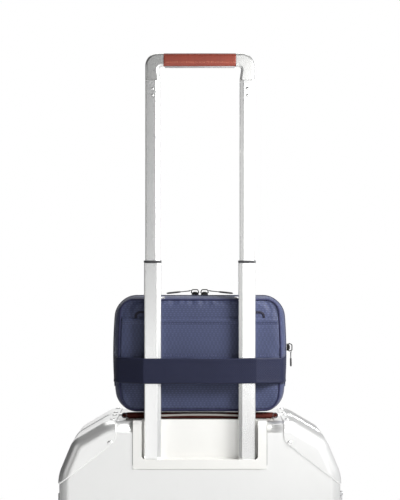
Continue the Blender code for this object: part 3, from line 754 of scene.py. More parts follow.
def half_rings(side, outset, rim, rounds=9):
    """Rings of one half's outside, from its rim to the flat of its face."""
    radius, face = EDGE_RADIUS + outset, CASE_HALF_DEPTH + outset
    rings = [case_ring(-outset, side * y) for y in (rim, rim + 2.0, face - radius - 2.0)]
    for k in range(rounds + 1):
        angle = math.pi / 2 * k / rounds
        inset = radius * (1 - math.cos(angle)) - outset
        rings.append(case_ring(inset, side * (face - radius + radius * math.sin(angle))))
    return rings + [case_ring(radius - outset + 1.5, side * face)]


def shell_mesh(name, side):
    outer = half_rings(side, 0.0, RIM)
    inner = half_rings(side, -SHELL_WALL, RIM)
    return new_object(name, loft(outer[::-1] + inner), 40.0)


def line_inside(obj, lining):
    """The lining's material on every face that looks into the case."""
    obj.data.materials.append(lining)
    middle = Vector((MIDDLE_X, 0, CASE_CENTRE_Z)) * MM
    inside = [f for f in obj.data.polygons if (f.center - middle).dot(f.normal) < 0]
    for face in inside:
        face.material_index = 1
    print(obj.name, len(inside), "lined faces")


# %% [markdown]
# ## Cuts in the rear shell
#
# The rear shell is cut open for the handle well, and has a slot for each leg of the grab handle.
# Both cuts are made in the finished tray, so that they leave a clean edge all the way through.

# %% Rear and front shells
LEG_X, GRAB_Y = 94.0, -77.0
rear_skin = shell_mesh("rear_shell_fine", -1)
well_gap = loft([[(x, y, z) for x, z in rounded(rectangle(185.2, 140.0, 8.0, (0, 554.0)))]
                 for y in (-130.0, -91.2)])
leg_slots = [prism(rounded(rectangle(11.6, 17.6, 1.0, (s * LEG_X, GRAB_Y)), 0, 3), "Z", 530, 560)
             for _, s in SIDES]
cut(rear_skin, well_gap, *leg_slots)
front_skin = shell_mesh("front_shell_fine", 1)
for skin, (half, _) in zip((rear_skin, front_skin), HALVES):
    finish_piece(weighted(skin), shell_metal, half + "_case", half + "_shell")
    line_inside(skin, lining_cloth)

# %% [markdown]
# ## Corner plates
#
# Upper corners are pressed plates, and lower corners are moulded housings that hold the casters.
# Both follow the shell's curve. So each starts as a copy of the shell's own skin, is cut by planes
# to its outline with a few rows of edges along the cut, and is then raised along its normals:
# nothing at the border, full height a millimetre and a half inside. That gives a rolled edge.

# %% Plates that follow the shell
PLATE_ROWS = ((0.0, -0.35), (0.3, 0.55), (0.8, 0.88), (1.6, 1.0))
PLATE_TURN = 16.0
PLATE_RAISED, HOUSING_RAISED = 1.5, 2.5


def plate_planes(side, sign, top):
    """Planes round one corner plate, each as a point and its inward normal."""
    flip = 1.0 if top else -1.0
    corner = Vector((114.5, 524.0))
    slope = Vector((100.5, -78.0)).normalized()
    across = Vector((-slope.y, slope.x))
    pivot = corner + (Vector((1, 0)) + across) * PLATE_TURN / (1 + across.x)
    planes = [(corner, Vector((1, 0))), (corner, across)]
    turn = math.atan2(across.y, across.x)
    for k in range(1, 6):
        normal = Vector((math.cos(turn * k / 6), math.sin(turn * k / 6)))
        planes.append((pivot - normal * PLATE_TURN, normal))
    made = []
    for point, normal in planes:
        z = CASE_CENTRE_Z + flip * (point.y - CASE_CENTRE_Z)
        made.append((Vector((sign * point.x, 0, z)), Vector((sign * normal.x, 0, flip * normal.y))))
    made.append((Vector((0, side * 12.0, 0)), Vector((0, side, 0))))
    return made


def corner_plate(name, side, sign, top, height):
    bm = loft(half_rings(side, 0.0, RIM), caps=False)
    rim_edges = [e for e in bm.edges if e.is_boundary
                 and all(abs(v.co.y) > CASE_HALF_DEPTH - 0.1 for v in e.verts)]
    bmesh.ops.contextual_create(bm, geom=rim_edges)
    bmesh.ops.recalc_face_normals(bm, faces=bm.faces)
    if sum(f.normal.y * f.calc_area() for f in bm.faces) * side < 0:
        bmesh.ops.reverse_faces(bm, faces=bm.faces)
    planes = plate_planes(side, sign, top)
    for depth, _ in PLATE_ROWS:
        for point, normal in planes:
            bmesh.ops.bisect_plane(
                bm, geom=bm.verts[:] + bm.edges[:] + bm.faces[:], dist=0.0001,
                plane_co=point + normal * depth, plane_no=normal, clear_inner=depth == 0.0)
    bmesh.ops.remove_doubles(bm, verts=bm.verts, dist=0.01)
    bm.normal_update()
    raised = []
    for vert in bm.verts:
        depth = min((vert.co - point).dot(normal) for point, normal in planes)
        share = PLATE_ROWS[-1][1]
        for (near, low), (far, high) in zip(PLATE_ROWS, PLATE_ROWS[1:]):
            if depth <= far:
                share = low + (high - low) * max(depth - near, 0.0) / (far - near)
                break
        raised.append(vert.co + vert.normal * height * share)
    for vert, co in zip(bm.verts, raised):
        vert.co = co
    return weighted(new_object(name, bm, 50.0))


def thicken(obj, wall):
    modifier = obj.modifiers.new("wall", "SOLIDIFY")
    modifier.thickness, modifier.offset = wall * MM, -1.0
    return applied(obj)


CORNERS = [(half, side, name, sign) for half, side in HALVES for name, sign in SIDES]
for half, side, name, sign in CORNERS:
    guard = corner_plate(f"{half}_guard_{name}_fine", side, sign, True, PLATE_RAISED)
    finish_piece(thicken(guard, 1.0), plate_metal, half + "_case",
                 f"{half}_corner_guard_{name}")
print("Four corner plates stand", PLATE_RAISED, "mm proud of the shells")

# %% [markdown]
# ## Wheel housings
#
# A housing is the lower corner's plate with a flared boss under it, where a caster turns. The boss
# is lathed, then cut back to the plate's own skin, so that the two read as one moulding.

# %% Wheel housings
CASTER_X, CASTER_Y = 138.0, 70.0
BOSS_PROFILE = [(4.5, 45.0), (23.0, 45.0), (24.6, 45.4), (25.7, 46.4), (26.0, 48.0), (26.4, 52.0),
                (27.6, 57.0), (30.5, 64.0), (34.0, 74.0), (4.5, 74.0)]
for half, side, name, sign in CORNERS:
    plate = corner_plate(f"{half}_housing_{name}_fine", side, sign, False, HOUSING_RAISED)
    housing = thicken(plate, 1.4)
    centre = (sign * CASTER_X, side * CASTER_Y)
    boss = new_object("boss", turned(BOSS_PROFILE, "Z", centre, 48), 40.0)
    cut(boss, loft([case_ring(0.2, side * 5.0, 6), case_ring(0.2, side * 101.0, 6),
                    case_ring(13.8, side * 114.7, 6)]))
    outside = rounded(rectangle(130.0, 101.0, 10, (sign * 144.0, side * 63.5)))
    cut(boss, prism(outside, "Z", 30, 90), operation="INTERSECT")
    bm = bmesh.new()
    bm.from_mesh(housing.data)
    bm.from_mesh(boss.data)
    bm.to_mesh(housing.data)
    bm.free()
    bpy.data.objects.remove(boss)
    housing.data.set_sharp_from_angle(angle=math.radians(40))
    finish_piece(housing, black_plastic, half + "_case",
                 f"{half}_wheel_housing_{name}")
print("Four wheel housings stand", HOUSING_RAISED, "mm proud of the shells")

# %% [markdown]
# ## Rivets
#
# Domed rivets hold the plates. The tree that lays stitches places them too: a path that is shorter
# than the row's spacing holds just one, so each rivet gets a short path of its own.

# %% Rivets
ONE_ONLY = 5.0


def spot(x, y, z):
    """A path for one small shape."""
    return [(x - 0.5, y, z), (x + 0.5, y, z)]


for half, side in HALVES:
    face, top = side * (CASE_HALF_DEPTH + PLATE_RAISED), CASE_TOP + PLATE_RAISED
    on_face = [spot(s * 123.5, face, 521.5) for _, s in SIDES]
    on_top = [spot(s * 121.0, side * y, top) for _, s in SIDES for y in (22.0, 92.0)]
    for label, paths, up in (("face", on_face, (0, side, 0)), ("top", on_top, (0, 0, 1))):
        row(f"{half}_{label}_rivets", paths, rivet_head, ONE_ONLY, up, rivet_metal,
            half + "_case", "steel")

# %% [markdown]
# ## Frame rails
#
# Two extruded rails close the case. An extrusion's section runs unchanged round the outline, so
# the section's points are the rings of a loft: each is the case's outline, moved out by its height.

# %% Rails
RAIL_SECTION = ((1.0, -6.0), (1.0, 1.2), (1.6, 1.9), (3.4, 2.0), (3.8, 1.4), (4.8, 1.4),
                (5.2, 2.0), (8.6, 2.0), (9.4, 1.8), (10.0, 0.9), (10.0, -6.0))
for half, side in HALVES:
    rings = [case_ring(-height, side * depth, 12) for depth, height in RAIL_SECTION]
    rail = new_object(half + "_rail_fine", loft(rings, closed=True), 50.0)
    finish_piece(rail, rail_metal, half + "_case", half + "_frame")
repaint(rubber, "frame_seal")
repaint(lining_cloth, "tube_cover_board")
print("Shells, plates, rivets and rails are made")

# %% [markdown]
# ## The handle well
#
# A pressed frame lines the recess that the grip folds into. Its two uprights have softly rounded
# tops, and its floor has a hole for each tube. It is drawn as its outer profile, the opening is
# cut out of it, and one bevel rounds every edge.

# %% Well
WELL_PROFILE = [(-116.5, 484.0, 3.0), (-91.5, 484.0, 0.0), (-91.5, 551.5, 0.0),
                (-116.5, 551.5, 6.0)]
well = new_object("handle_well_fine", prism(rounded(WELL_PROFILE, 0.0, 10), "X", -92.0, 92.0))
opening = [(-80.0, 498.0, 5.0), (80.0, 498.0, 5.0), (80.0, 580.0, 0.0), (-80.0, 580.0, 0.0)]
holes = [prism(rounded(rectangle(24.6, 16.2, 2.4, (s * TUBE_X, TUBE_Y))), "Z", 470, 510)
         for _, s in SIDES]
cut(well, prism(rounded(opening), "Y", -130.0, -94.0), *holes)
bevelled(well, 0.8, 3, 40.0)
finish_piece(weighted(well), well_metal, "rear_case", "handle_well")
repaint(steel, "guide_tube_left", "guide_tube_right", "push_rod_left", "push_rod_right",
        "hinge_pin")
repaint(black_plastic, "lock_block_left", "lock_block_right", "grip_core")
print("The well has", len(well.data.polygons), "faces")

# %% [markdown]
# ## Telescopic tubes
#
# Each tube is an extrusion whose inner front edge is broken by a wide chamfer, which catches the
# light as a bright line. The section is a loft of four rings: outside up, inside down. Round holes
# in the inner faces take the locking balls, and two rivets hold each grip corner.

# %% Tubes
def tube_section(size, shrink, sign, steps=5):
    width, depth = size[0] / 2 - shrink, size[1] / 2 - shrink
    small = max(2.0 - shrink, 0.6)
    slant = 5.2 - shrink * 0.42
    corners = [(-width, -depth + slant * 0.55, small), (-width + slant, -depth, small),
               (width, -depth, small), (width, depth, small), (-width, depth, small)]
    points = rounded(corners, 0.0, steps)
    if sign < 0:
        points = [(-u, v) for u, v in points][::-1]
    return [(u + sign * TUBE_X, v + TUBE_Y) for u, v in points]


def handle_tube(name, size, sign, low, high, wall=1.2, edge=0.35):
    rings = [(edge, low), (0.0, low + edge), (0.0, high - edge), (edge, high),
             (wall - edge, high), (wall, high - edge), (wall, low + edge), (wall - edge, low)]
    shape = loft([[(u, v, z) for u, v in tube_section(size, shrink, sign)] for shrink, z in rings],
                 closed=True)
    return new_object(name, shape, 30.0)


LOWER_TUBE, UPPER_TUBE = (23.4, 15.0), (20.2, 11.8)
RIVET_HEIGHTS = (1008.3, 999.0)
CATCH_HEIGHTS = (763.5, 752.5, 520.0)
small_rivet = lathed_shape("small_rivet_shape", [
    (0.02, -0.9), (1.65, -0.9), (1.65, -0.1), (1.5, 0.08), (1.1, 0.22), (0.02, 0.26)], 20)


def catch_pins(radius, *ends):
    """A short rod across the tube's inner face at each catch."""
    return [prism(circle(radius, (TUBE_Y + 1.0, z), 20), "X", *sorted(ends))
            for z in CATCH_HEIGHTS]


for side_name, sign in SIDES:
    lower = handle_tube(f"lower_tube_{side_name}_fine", LOWER_TUBE, sign, 438.0, 768.0)
    face = sign * (TUBE_X - LOWER_TUBE[0] / 2)
    cut(lower, *catch_pins(1.7, face - sign * 3.0, face + sign * 3.0))
    finish_piece(weighted(lower), tube_metal, "lower_stage", "lower_tube_" + side_name)
    buttons = merged(*catch_pins(1.65, face + sign * 0.5, face + sign * 2.1))
    finish_piece(new_object("lock_buttons_" + side_name, buttons), black_plastic, "lower_stage")
    upper = handle_tube(f"upper_tube_{side_name}_fine", UPPER_TUBE, sign, 715.0, 1020.0)
    x, y = sign * (TUBE_X + 0.5), TUBE_Y - UPPER_TUBE[1] / 2
    cut(upper, *[prism(circle(2.1, (x, z), 20), "Y", y - 2.0, y + 2.5) for z in RIVET_HEIGHTS])
    finish_piece(weighted(upper), tube_metal, "upper_stage", "upper_tube_" + side_name)
    refined("collar_" + side_name, black_plastic, 0.5, "lower_stage")
    row("tube_rivets_" + side_name, [spot(x, y, z) for z in RIVET_HEIGHTS], small_rivet,
        ONE_ONLY, (0, -1, 0), rivet_metal, "upper_stage", "steel")

# %% [markdown]
# ## Grip
#
# The corners are castings whose section is rounded all the way round, but their ends stay square
# and flush where the leather and the tubes begin. So the outline shrinks towards both faces, while
# its two end lines stay in place.

# %% Grip corners
GRIP_EDGE = 3.2
GRIP_Y = (-111.0, -96.0)
GRIP_TOP, TUBE_END = 1057.0, 1020.3


def grip_corner_outline(inset, sign):
    corners = [(50.3 - inset, 1039.0, 0.0), (57.5, 1039.0, 4.5), (54.9, TUBE_END - inset, 0.0),
               (75.1, TUBE_END - inset, 0.0), (75.1, GRIP_TOP, 17.0),
               (50.3 - inset, GRIP_TOP, 0.0)]
    return [(sign * x, z) for x, z in rounded(corners, inset, 14)]


def grip_depth_share(z):
    """The casting thins from the grip's depth to the tube's as it turns down."""
    share = min(max((z - TUBE_END) / 18.0, 0.0), 1.0)
    return 0.82 + 0.18 * share * share * (3 - 2 * share)


for side_name, sign in SIDES:
    rings = soft_rings(lambda inset: grip_corner_outline(inset, sign), "Y", *GRIP_Y, GRIP_EDGE, 6)
    rings = [[(x, TUBE_Y + (y - TUBE_Y) * grip_depth_share(z), z) for x, y, z in ring]
             for ring in rings]
    corner = new_object(f"grip_corner_{side_name}_fine", loft(rings), 40.0)
    finish_piece(weighted(corner), grip_metal, "upper_stage", "grip_corner_" + side_name)
print("Two grip corners, rounded by", GRIP_EDGE, "mm")

# %% [markdown]
# ## Leather sleeve
#
# The leather is wrapped round a stiff core, so it is a sleeve and not a cushion. It bulges a little
# between its ends. A slit under it lets the release bar slide. Each side has a row of stitches.

# %% Leather sleeve
GRIP_LENGTH, GRIP_CENTRE_Z = 50.0, 1048.0
STATIONS = [(-1.0, 0.45), (-0.985, 0.1), (-0.965, 0.0), (-0.93, 0.06), (-0.5, -0.02), (0.0, -0.05)]
STATIONS += [(-place, inset) for place, inset in STATIONS[-2::-1]]


def sleeve_rings(inside):
    rings = []
    for place, inset in STATIONS:
        size = (11.6, 14.6, 3.4) if inside else (15.0, 18.0, 5.0)
        outline = rounded(rectangle(*size, (TUBE_Y, GRIP_CENTRE_Z)), 0.0 if inside else inset, 8)
        rings.append([(place * GRIP_LENGTH, y, z) for y, z in outline])
    return rings


sleeve = new_object("grip_leather_fine", loft(sleeve_rings(False) + sleeve_rings(True)[::-1],
                                              closed=True), 50.0)
slit = [(u, v) for u, v, _ in rectangle(7.0, 17.0, 0.0, (TUBE_Y, 1038.5))]
cut(sleeve, prism(slit, "X", -80.0, 80.0))
finish_piece(bevelled(sleeve, 0.35, 2, 50.0), tan_leather, "upper_stage",
             "grip_leather")
for (label, side), y in zip(HALVES, GRIP_Y):
    seam = [(x, y + side * 0.12, 1044.6) for x in (-46.5, 46.5)]
    row("grip_stitches_" + label, [seam], fine_stitch, 3.1, (0, side, 0), tan_thread,
        "upper_stage", "leather")
refined("release_bar", grey_plastic, 0.6, "release_bar")
print("The grip is", 2 * GRIP_LENGTH, "mm of leather between two corners")

# %% [markdown]
# ## Grab handle on the top of the case
#
# The handle is a flat leather pad, filled and stitched. Its ends taper into a tip with a small
# ring, where its legs drop through a metal plate on the case. A slim bowed metal strip stiffens
# its edge at the pull handle's side.

# %% Grab handle
GRAB_LOW, GRAB_HIGH = 552.2, 560.1
PAD_STATIONS = [(-107.6, 4.2, 1.3), (-106.8, 6.2, 2.1), (-104.5, 8.4, 2.9), (-100.0, 10.6, 3.5),
                (-92.0, 12.2, 3.8), (-80.0, 12.9, 3.9), (-60.0, 13.0, 3.95), (0.0, 13.0, 3.95)]
PAD_STATIONS += [(-x, half, thick) for x, half, thick in PAD_STATIONS[-2::-1]]


def pad_ring(x, half, thick, steps=28):
    """A flat oval section, fuller than an ellipse, whose underside stays flat."""
    middle = (GRAB_LOW + GRAB_HIGH) / 2
    ring = []
    for angle in turns(steps):
        c, s = math.cos(angle), math.sin(angle)
        ring.append((x, GRAB_Y + half * fuller(c, 0.55),
                     middle + thick * fuller(s, 0.7 if s > 0 else 0.5)))
    return ring


pad = loft([pad_ring(*station) for station in PAD_STATIONS])
legs = [soft_prism(rectangle(10.0, 16.0, 2.5, (s * LEG_X, GRAB_Y)), "Z", 528.6, 554.5, 1.5, 5, 3)
        for _, s in SIDES]
grab = new_object("grab_handle_pad", merged(pad, *legs), 50.0)
# The pad's leather is darkened as painted shade, for the soft case's shadow over it.
finish_piece(grab, brown_leather_painted_shade, "grab_handle", "grab_handle")
for label, side in HALVES:
    seam = [(x, GRAB_Y + side * 9.9, GRAB_HIGH - 0.75) for x in (-88.0, 88.0)]
    row("grab_stitches_" + label, [seam], fine_stitch, 3.6, (0, 0, 1), brown_thread,
        "grab_handle", "leather")

# %% [markdown]
# ## Strip, rings and plate of the grab handle
#
# The strip is bowed, so it is a loft whose section rises along an arch. A ring is a wire bent round
# a circle. The base plate is the CAD's own plate with rounded edges, and a row of screws on it.

# %% Strip, rings and plate
STRIP_HALF, STRIP_LOW, STRIP_BOW, STRIP_HEIGHT = 62.0, 554.6, 1.7, 2.9
RING_X, RING_Z, RING_RADIUS, RING_WIRE = 104.6, 556.4, 3.4, 0.7
strip_rings = []
for i in range(33):
    share = i / 16 - 1
    low = STRIP_LOW + STRIP_BOW * (1 - share * share)
    high = low + STRIP_HEIGHT
    section = [(-91.2, low, 0.4), (-90.3, low, 0.2), (-90.3, high, 0.2), (-91.2, high, 0.4)]
    strip_rings.append([(share * STRIP_HALF, y, z) for y, z in rounded(section, 0.0, 3)])
finish_piece(new_object("grab_handle_strip", loft(strip_rings), 40.0), strip_metal,
             "grab_handle")
rings = []
for _, sign in SIDES:
    centre = Vector((sign * RING_X, GRAB_Y - 9.4, RING_Z))
    hoop = []
    for x, z in circle(RING_RADIUS, (centre.x, centre.z), 28):
        point = Vector((x, centre.y, z))
        out = (point - centre).normalized() * RING_WIRE
        hoop.append([tuple(point + out * math.cos(a) + Vector((0, RING_WIRE * math.sin(a), 0)))
                     for a in turns(10)])
    rings.append(loft(hoop, closed=True))
finish_piece(new_object("grab_handle_rings", merged(*rings), 60.0), gunmetal, "grab_handle")
refined("grab_handle_plate", strip_metal, 0.45, "rear_case")
screw = lathed_shape("screw_shape", [(0.02, -0.3), (2.3, -0.3), (2.3, 0.3), (1.9, 0.62),
                                     (1.0, 0.7), (1.0, 0.2), (0.02, 0.2)], 16)
row("grab_plate_screws", [spot(x, GRAB_Y, 551.8) for x in (-80.0, -40.0, 0.0, 40.0, 80.0)],
    screw, ONE_ONLY, (0, 0, 1), steel, "rear_case", "steel")

# %% [markdown]
# ## Casters
#
# Each caster has a round cover that swivels under the housing, a web, and a wheel either side of
# it. A wheel is a soft tyre round a hard hub with spokes. The tyre and the hub are separate
# pieces, because rubber and plastic shine differently, and both roll with the CAD's wheels.

# %% Casters
WHEEL_RADIUS, CASTER_TRAIL = 20.0, 9.0
CASTER_TURN = {"rear_left": 35.0, "rear_right": -50.0, "front_left": 120.0, "front_right": -140.0}


def caster_place(corner):
    x = -CASTER_X if corner.endswith("left") else CASTER_X
    y = -CASTER_Y if corner.startswith("rear") else CASTER_Y
    turn = Matrix.Rotation(math.radians(CASTER_TURN[corner]), 4, "Z")
    return Matrix.Translation((x, y, 0.0)) @ turn


def fork_mesh():
    cover = turned([(0.02, 40.8), (18.2, 40.8), (19.5, 41.2), (20.0, 42.2), (20.0, 43.0),
                    (19.2, 43.8), (17.0, 44.4), (0.02, 44.4)], "Z", (0.0, 0.0), 56)
    web = [(2.0, 13.0, 5.0), (16.0, 13.0, 5.0), (14.0, 42.0, 0.0), (-12.0, 42.0, 0.0)]
    stem = prism(circle(4.0, (0.0, 0.0), 24), "Z", 43.0, 48.5)
    return merged(cover, soft_prism(web, "Y", -3.4, 3.4, 0.8, 8, 3), stem)


def wheel_profiles(sign):
    """Closed profiles of one tyre, one hub and one cap, as (radius, height along the axle)."""
    near, far = 3.7, 13.7
    tyre = [(15.2, near + 0.6), (16.6, near), (18.6, near + 0.2), (19.6, near + 1.0),
            (20.0, near + 2.4), (20.0, far - 2.4), (19.6, far - 1.0), (18.6, far - 0.2),
            (16.6, far), (15.2, far - 0.6)]
    hub = [(2.3, near + 0.4), (15.1, near + 0.4), (15.1, far - 0.5), (14.2, far - 0.3),
           (13.2, far - 0.6), (12.6, far - 1.8), (6.4, far - 1.8), (5.8, far - 0.5),
           (5.2, far - 0.1), (2.3, far - 0.1)]
    cap = [(0.02, -0.5), (2.2, -0.5), (2.2, far - 0.2), (1.6, far), (0.02, far)]
    return [[(r, sign * h) for r, h in profile] for profile in (tyre, hub, cap)]


def spokes(sign, centre, count=9):
    """Low ribs on the hub's recessed face."""
    ribs = []
    for i in range(count):
        rib = soft_prism(rectangle(6.6, 1.5, 0.5, (9.5, 0.0)), "Z", 11.4, 13.0, 0.4, 3, 2)
        rib.transform(Matrix.Rotation(math.tau * i / count, 4, "Z"))
        rib.transform(Matrix.Rotation(math.radians(-90 * sign), 4, "X"))
        rib.transform(Matrix.Translation((centre[0], 0.0, centre[1])))
        ribs.append(rib)
    return ribs


for corner in CASTER_TURN:
    place = caster_place(corner)
    finish_piece(new_object(f"caster_fork_{corner}_fine", fork_mesh(), 40.0, place),
                 black_plastic, "swivel_" + corner, "caster_fork_" + corner)
    centre = (CASTER_TRAIL, WHEEL_RADIUS)
    tyres, hubs = [], []
    for _, sign in SIDES:
        tyre_profile, hub_profile, cap_profile = wheel_profiles(sign)
        tyres.append(turned(tyre_profile, "Y", centre, 72))
        hubs += [turned(hub_profile, "Y", centre, 48), turned(cap_profile, "Y", centre, 24)]
        hubs += spokes(sign, centre)
    rolling = "wheels_" + corner
    finish_piece(new_object("caster_tyres_" + corner, merged(*tyres), 50.0, place), tyre,
                 rolling, "caster_wheels_" + corner)
    finish_piece(new_object("caster_hubs_" + corner, merged(*hubs), 40.0, place), grey_plastic,
                 rolling)
print("Four casters, each with two wheels")

# %% [markdown]
# ## Hinge and latches
#
# The hinge's leaves are right as they are and only need rounded edges and screws. A latch lever is
# a curved plate: it starts as a flat outline with a finger scoop, and gets a raised rim.

# %% Hinge and latches
HINGE_X = -198.1
HINGE_SCREWS = (185.0, 231.0, 277.0, 323.0, 369.0, 415.0)
for half, side in HALVES:
    refined(f"hinge_{half}_leaf", steel, 0.35, half + "_case", 2)
for half, side in HALVES:
    paths = [[(HINGE_X, side * 6.8, z - 0.5), (HINGE_X, side * 6.8, z + 0.5)]
             for z in HINGE_SCREWS]
    row("hinge_screws_" + half, paths, screw, ONE_ONLY, (-1, 0, 0), steel, half + "_case", "steel")

for name, height in (("upper", 415.0), ("lower", 185.0)):
    refined("latch_base_" + name, steel, 0.5, "rear_case")
    refined("latch_keeper_" + name, steel, 0.6, "front_case")
    outline = [(-20.9, height - 22.0, 2.0), (8.0, height - 22.0, 5.0), (17.0, height - 15.0, 5.0),
               (17.0, height + 15.0, 5.0), (8.0, height + 22.0, 5.0),
               (-20.9, height + 22.0, 2.0)]
    plate = soft_prism(outline, "X", 199.3, 202.6, 1.1, 8, 4)
    lever = new_object(f"latch_lever_{name}_fine", plate, 40.0)
    scoop = soft_prism([(-8.0, height - 14.0, 4.0), (11.0, height - 9.0, 5.0),
                        (11.0, height + 9.0, 5.0), (-8.0, height + 14.0, 4.0)],
                       "X", 201.6, 206.0, 0.4, 6, 2)
    cut(lever, scoop)
    finish_piece(bevelled(lever, 0.3, 2, 40.0), lever_metal, "latch_lever_" + name,
                 "latch_lever_" + name)
print("Hinge and latches are refined")

# %% [markdown]
# ## Helpers for woven pieces
#
# A weave has to follow the cloth, so these pieces get a UV map in metres: one direction runs along
# the piece and the other across it. `woven` skins a grid of points and writes that map as it goes.

# %% Woven skins
def woven(rings, along, across, closed=False):
    """A bmesh through rings of points, with UVs from lengths along and across, in millimetres."""
    bm = bmesh.new()
    layer = bm.loops.layers.uv.new("weave")
    loops = [[bm.verts.new(p) for p in ring] for ring in rings]
    count = len(across) - 1
    for i in range(len(along) - 1):
        a, b = loops[i], loops[(i + 1) % len(loops)]
        for j in range(count):
            k = (j + 1) % len(a)
            face = bm.faces.new((a[j], a[k], b[k], b[j]))
            spots = ((along[i], across[j]), (along[i], across[j + 1]),
                     (along[i + 1], across[j + 1]), (along[i + 1], across[j]))
            for corner, spot in zip(face.loops, spots):
                corner[layer].uv = (spot[0] * MM, spot[1] * MM)
    if not closed and count == len(loops[0]):
        bm.faces.new(loops[0])
        bm.faces.new(loops[-1])
    bmesh.ops.recalc_face_normals(bm, faces=bm.faces)
    return bm


def lengths(points, closed=False):
    """The distance along a path at each of its points."""
    path = [Vector(p) for p in points] + ([Vector(points[0])] if closed else [])
    total = [0.0]
    for a, b in zip(path, path[1:]):
        total.append(total[-1] + (b - a).length)
    return total


def cord_mesh(path, radius, closed=False, sides=10, up=(0, 1, 0)):
    """A round cord along a path, with its weave running along it."""
    points = [Vector(p) for p in path]
    rings = []
    for i, here in enumerate(points):
        before = points[i - 1] if i or closed else here
        after = points[(i + 1) % len(points)] if i + 1 < len(points) or closed else here
        ahead = (after - before).normalized()
        side = ahead.cross(Vector(up)).normalized()
        over = side.cross(ahead).normalized()
        rings.append([tuple(here + (side * math.cos(a) + over * math.sin(a)) * radius)
                      for a in turns(sides)])
    round_it = [math.tau * radius * k / sides for k in range(sides + 1)]
    return woven(rings, lengths(path, closed), round_it, closed)


def flat_weave(obj, u, v):
    """A UV map in metres that looks straight at a flat piece along two of its axes."""
    layer = obj.data.uv_layers.new(name="weave")
    for loop in obj.data.loops:
        co = obj.data.vertices[loop.vertex_index].co
        layer.data[loop.index].uv = (co[u], co[v])
    return obj


def rim_of(grid):
    """The points round the edge of a grid: its first row, right side, last row and left side."""
    return (grid[0] + [r[-1] for r in grid[1:]] + grid[-1][-2::-1]
            + [r[0] for r in grid[-2:0:-1]])


for skin in (rear_skin, front_skin):
    flat_weave(skin, 0, 2)
print("Woven helpers are ready")

# %% [markdown]
# ## The soft case
#
# The stuffed case is a back panel, a front panel and a gusset between them, sewn together at two
# piped seams. It is made as one dense closed mesh, with a grid on each panel and rings round the
# gusset, because a cloth simulation needs even faces. Its UVs are written while it is still flat.

# %% The shape before it is filled
BAG_BACK, BAG_DEPTH = -93.5, 60.0
BAG_MIDDLE = BAG_BACK + BAG_DEPTH / 2
BAG_COLUMNS, BAG_STRAIGHT_ROWS, GUSSET_STEPS = 56, 27, 16
STRAP_LOW, STRAP_HIGH = 602.0, 637.0


def bag_rows(swell, outset=0.0):
    """Half-width and height of every row of the outline, from the bottom to the top."""
    half = 111.5 + 8.6 * swell + outset
    low, high = 565.0 - 4.6 * swell - outset, 717.0 + 5.0 * swell + outset
    lower, upper = 19.0 + 9.0 * swell + outset, 16.0 + 12.0 * swell + outset
    rows = []
    for k in range(9):
        angle = math.radians(-90 + 90 * k / 8)
        rows.append((half - lower + lower * math.cos(angle),
                     low + lower + lower * math.sin(angle)))
    start, stop = low + lower, high - upper
    for k in range(1, BAG_STRAIGHT_ROWS):
        rows.append((half, start + (stop - start) * k / BAG_STRAIGHT_ROWS))
    for k in range(12):
        angle = math.radians(90 * k / 11)
        rows.append((half - upper + upper * math.cos(angle),
                     high - upper + upper * math.sin(angle)))
    return rows


def settled(x, y, z):
    """The outline is barrel-shaped: widest where the strap pulls, narrower above and below it."""
    reach = (z - 640.0) / 77.0
    x *= 1 - (0.045 if reach < 0 else 0.034) * reach * reach
    if abs(x) > 100 and y < -66:
        edge = min(max(min(z - STRAP_LOW + 5, STRAP_HIGH + 5 - z) / 6, 0.0), 1.0)
        depth = min(max((-66 - y) / 8, 0.0), 1.0) * min(max((y + 92.5) / 6, 0.0), 1.0)
        x -= math.copysign(1.5 * edge * depth, x)
    return x, y, z


def gusset_swell(depth):
    reach = abs(2 * depth / BAG_DEPTH - 1)
    return max(1 - reach ** 2.6, 0.0) ** 0.75


def bag_outline(y, swell, outset=0.0):
    """The outline as a closed loop: bottom, right side, top and left side."""
    rows = bag_rows(swell, outset)
    shares = [2 * i / BAG_COLUMNS - 1 for i in range(BAG_COLUMNS + 1)]
    loop = [(s * rows[0][0], rows[0][1]) for s in shares]
    loop += [(w, z) for w, z in rows[1:]]
    loop += [(s * rows[-1][0], rows[-1][1]) for s in shares[-2::-1]]
    loop += [(-w, z) for w, z in rows[-2:0:-1]]
    return [settled(x, y, z) for x, z in loop]


def bag_mesh():
    """Both panels and the gusset as one closed mesh, its UVs in metres."""
    bm = bmesh.new()
    layer = bm.loops.layers.uv.new("weave")
    rows = bag_rows(0.0)
    count = BAG_COLUMNS + 1
    panels = []
    for y in (BAG_BACK, BAG_BACK + BAG_DEPTH):
        grid = [[bm.verts.new(settled((2 * i / BAG_COLUMNS - 1) * w, y, z)) for i in range(count)]
                for w, z in rows]
        panels.append(grid)
        for low, high in zip(grid, grid[1:]):
            for i in range(BAG_COLUMNS):
                face = bm.faces.new((low[i], low[i + 1], high[i + 1], high[i]))
                for corner in face.loops:
                    corner[layer].uv = (corner.vert.co.x * MM, corner.vert.co.z * MM)
    rims = [rim_of(panel) for panel in panels]
    loops = [rims[0]]
    for k in range(1, GUSSET_STEPS):
        depth = BAG_DEPTH * (1 - math.cos(math.pi * k / GUSSET_STEPS)) / 2
        loops.append([bm.verts.new(p) for p in
                      bag_outline(BAG_BACK + depth, gusset_swell(depth))])
    loops.append(rims[1])
    along = lengths([v.co for v in rims[0]], closed=True)
    for a, b in zip(loops, loops[1:]):
        for j in range(len(a)):
            k = (j + 1) % len(a)
            face = bm.faces.new((a[j], a[k], b[k], b[j]))
            for corner, length in zip(face.loops, (along[j], along[j + 1], along[j + 1],
                                                   along[j])):
                corner[layer].uv = (corner.vert.co.y * MM, length * MM)
    bmesh.ops.recalc_face_normals(bm, faces=bm.faces)
    return bm


bag = new_object("soft_case_stuffed", bag_mesh(), 60.0)
print("The soft case starts with", len(bag.data.vertices), "points")

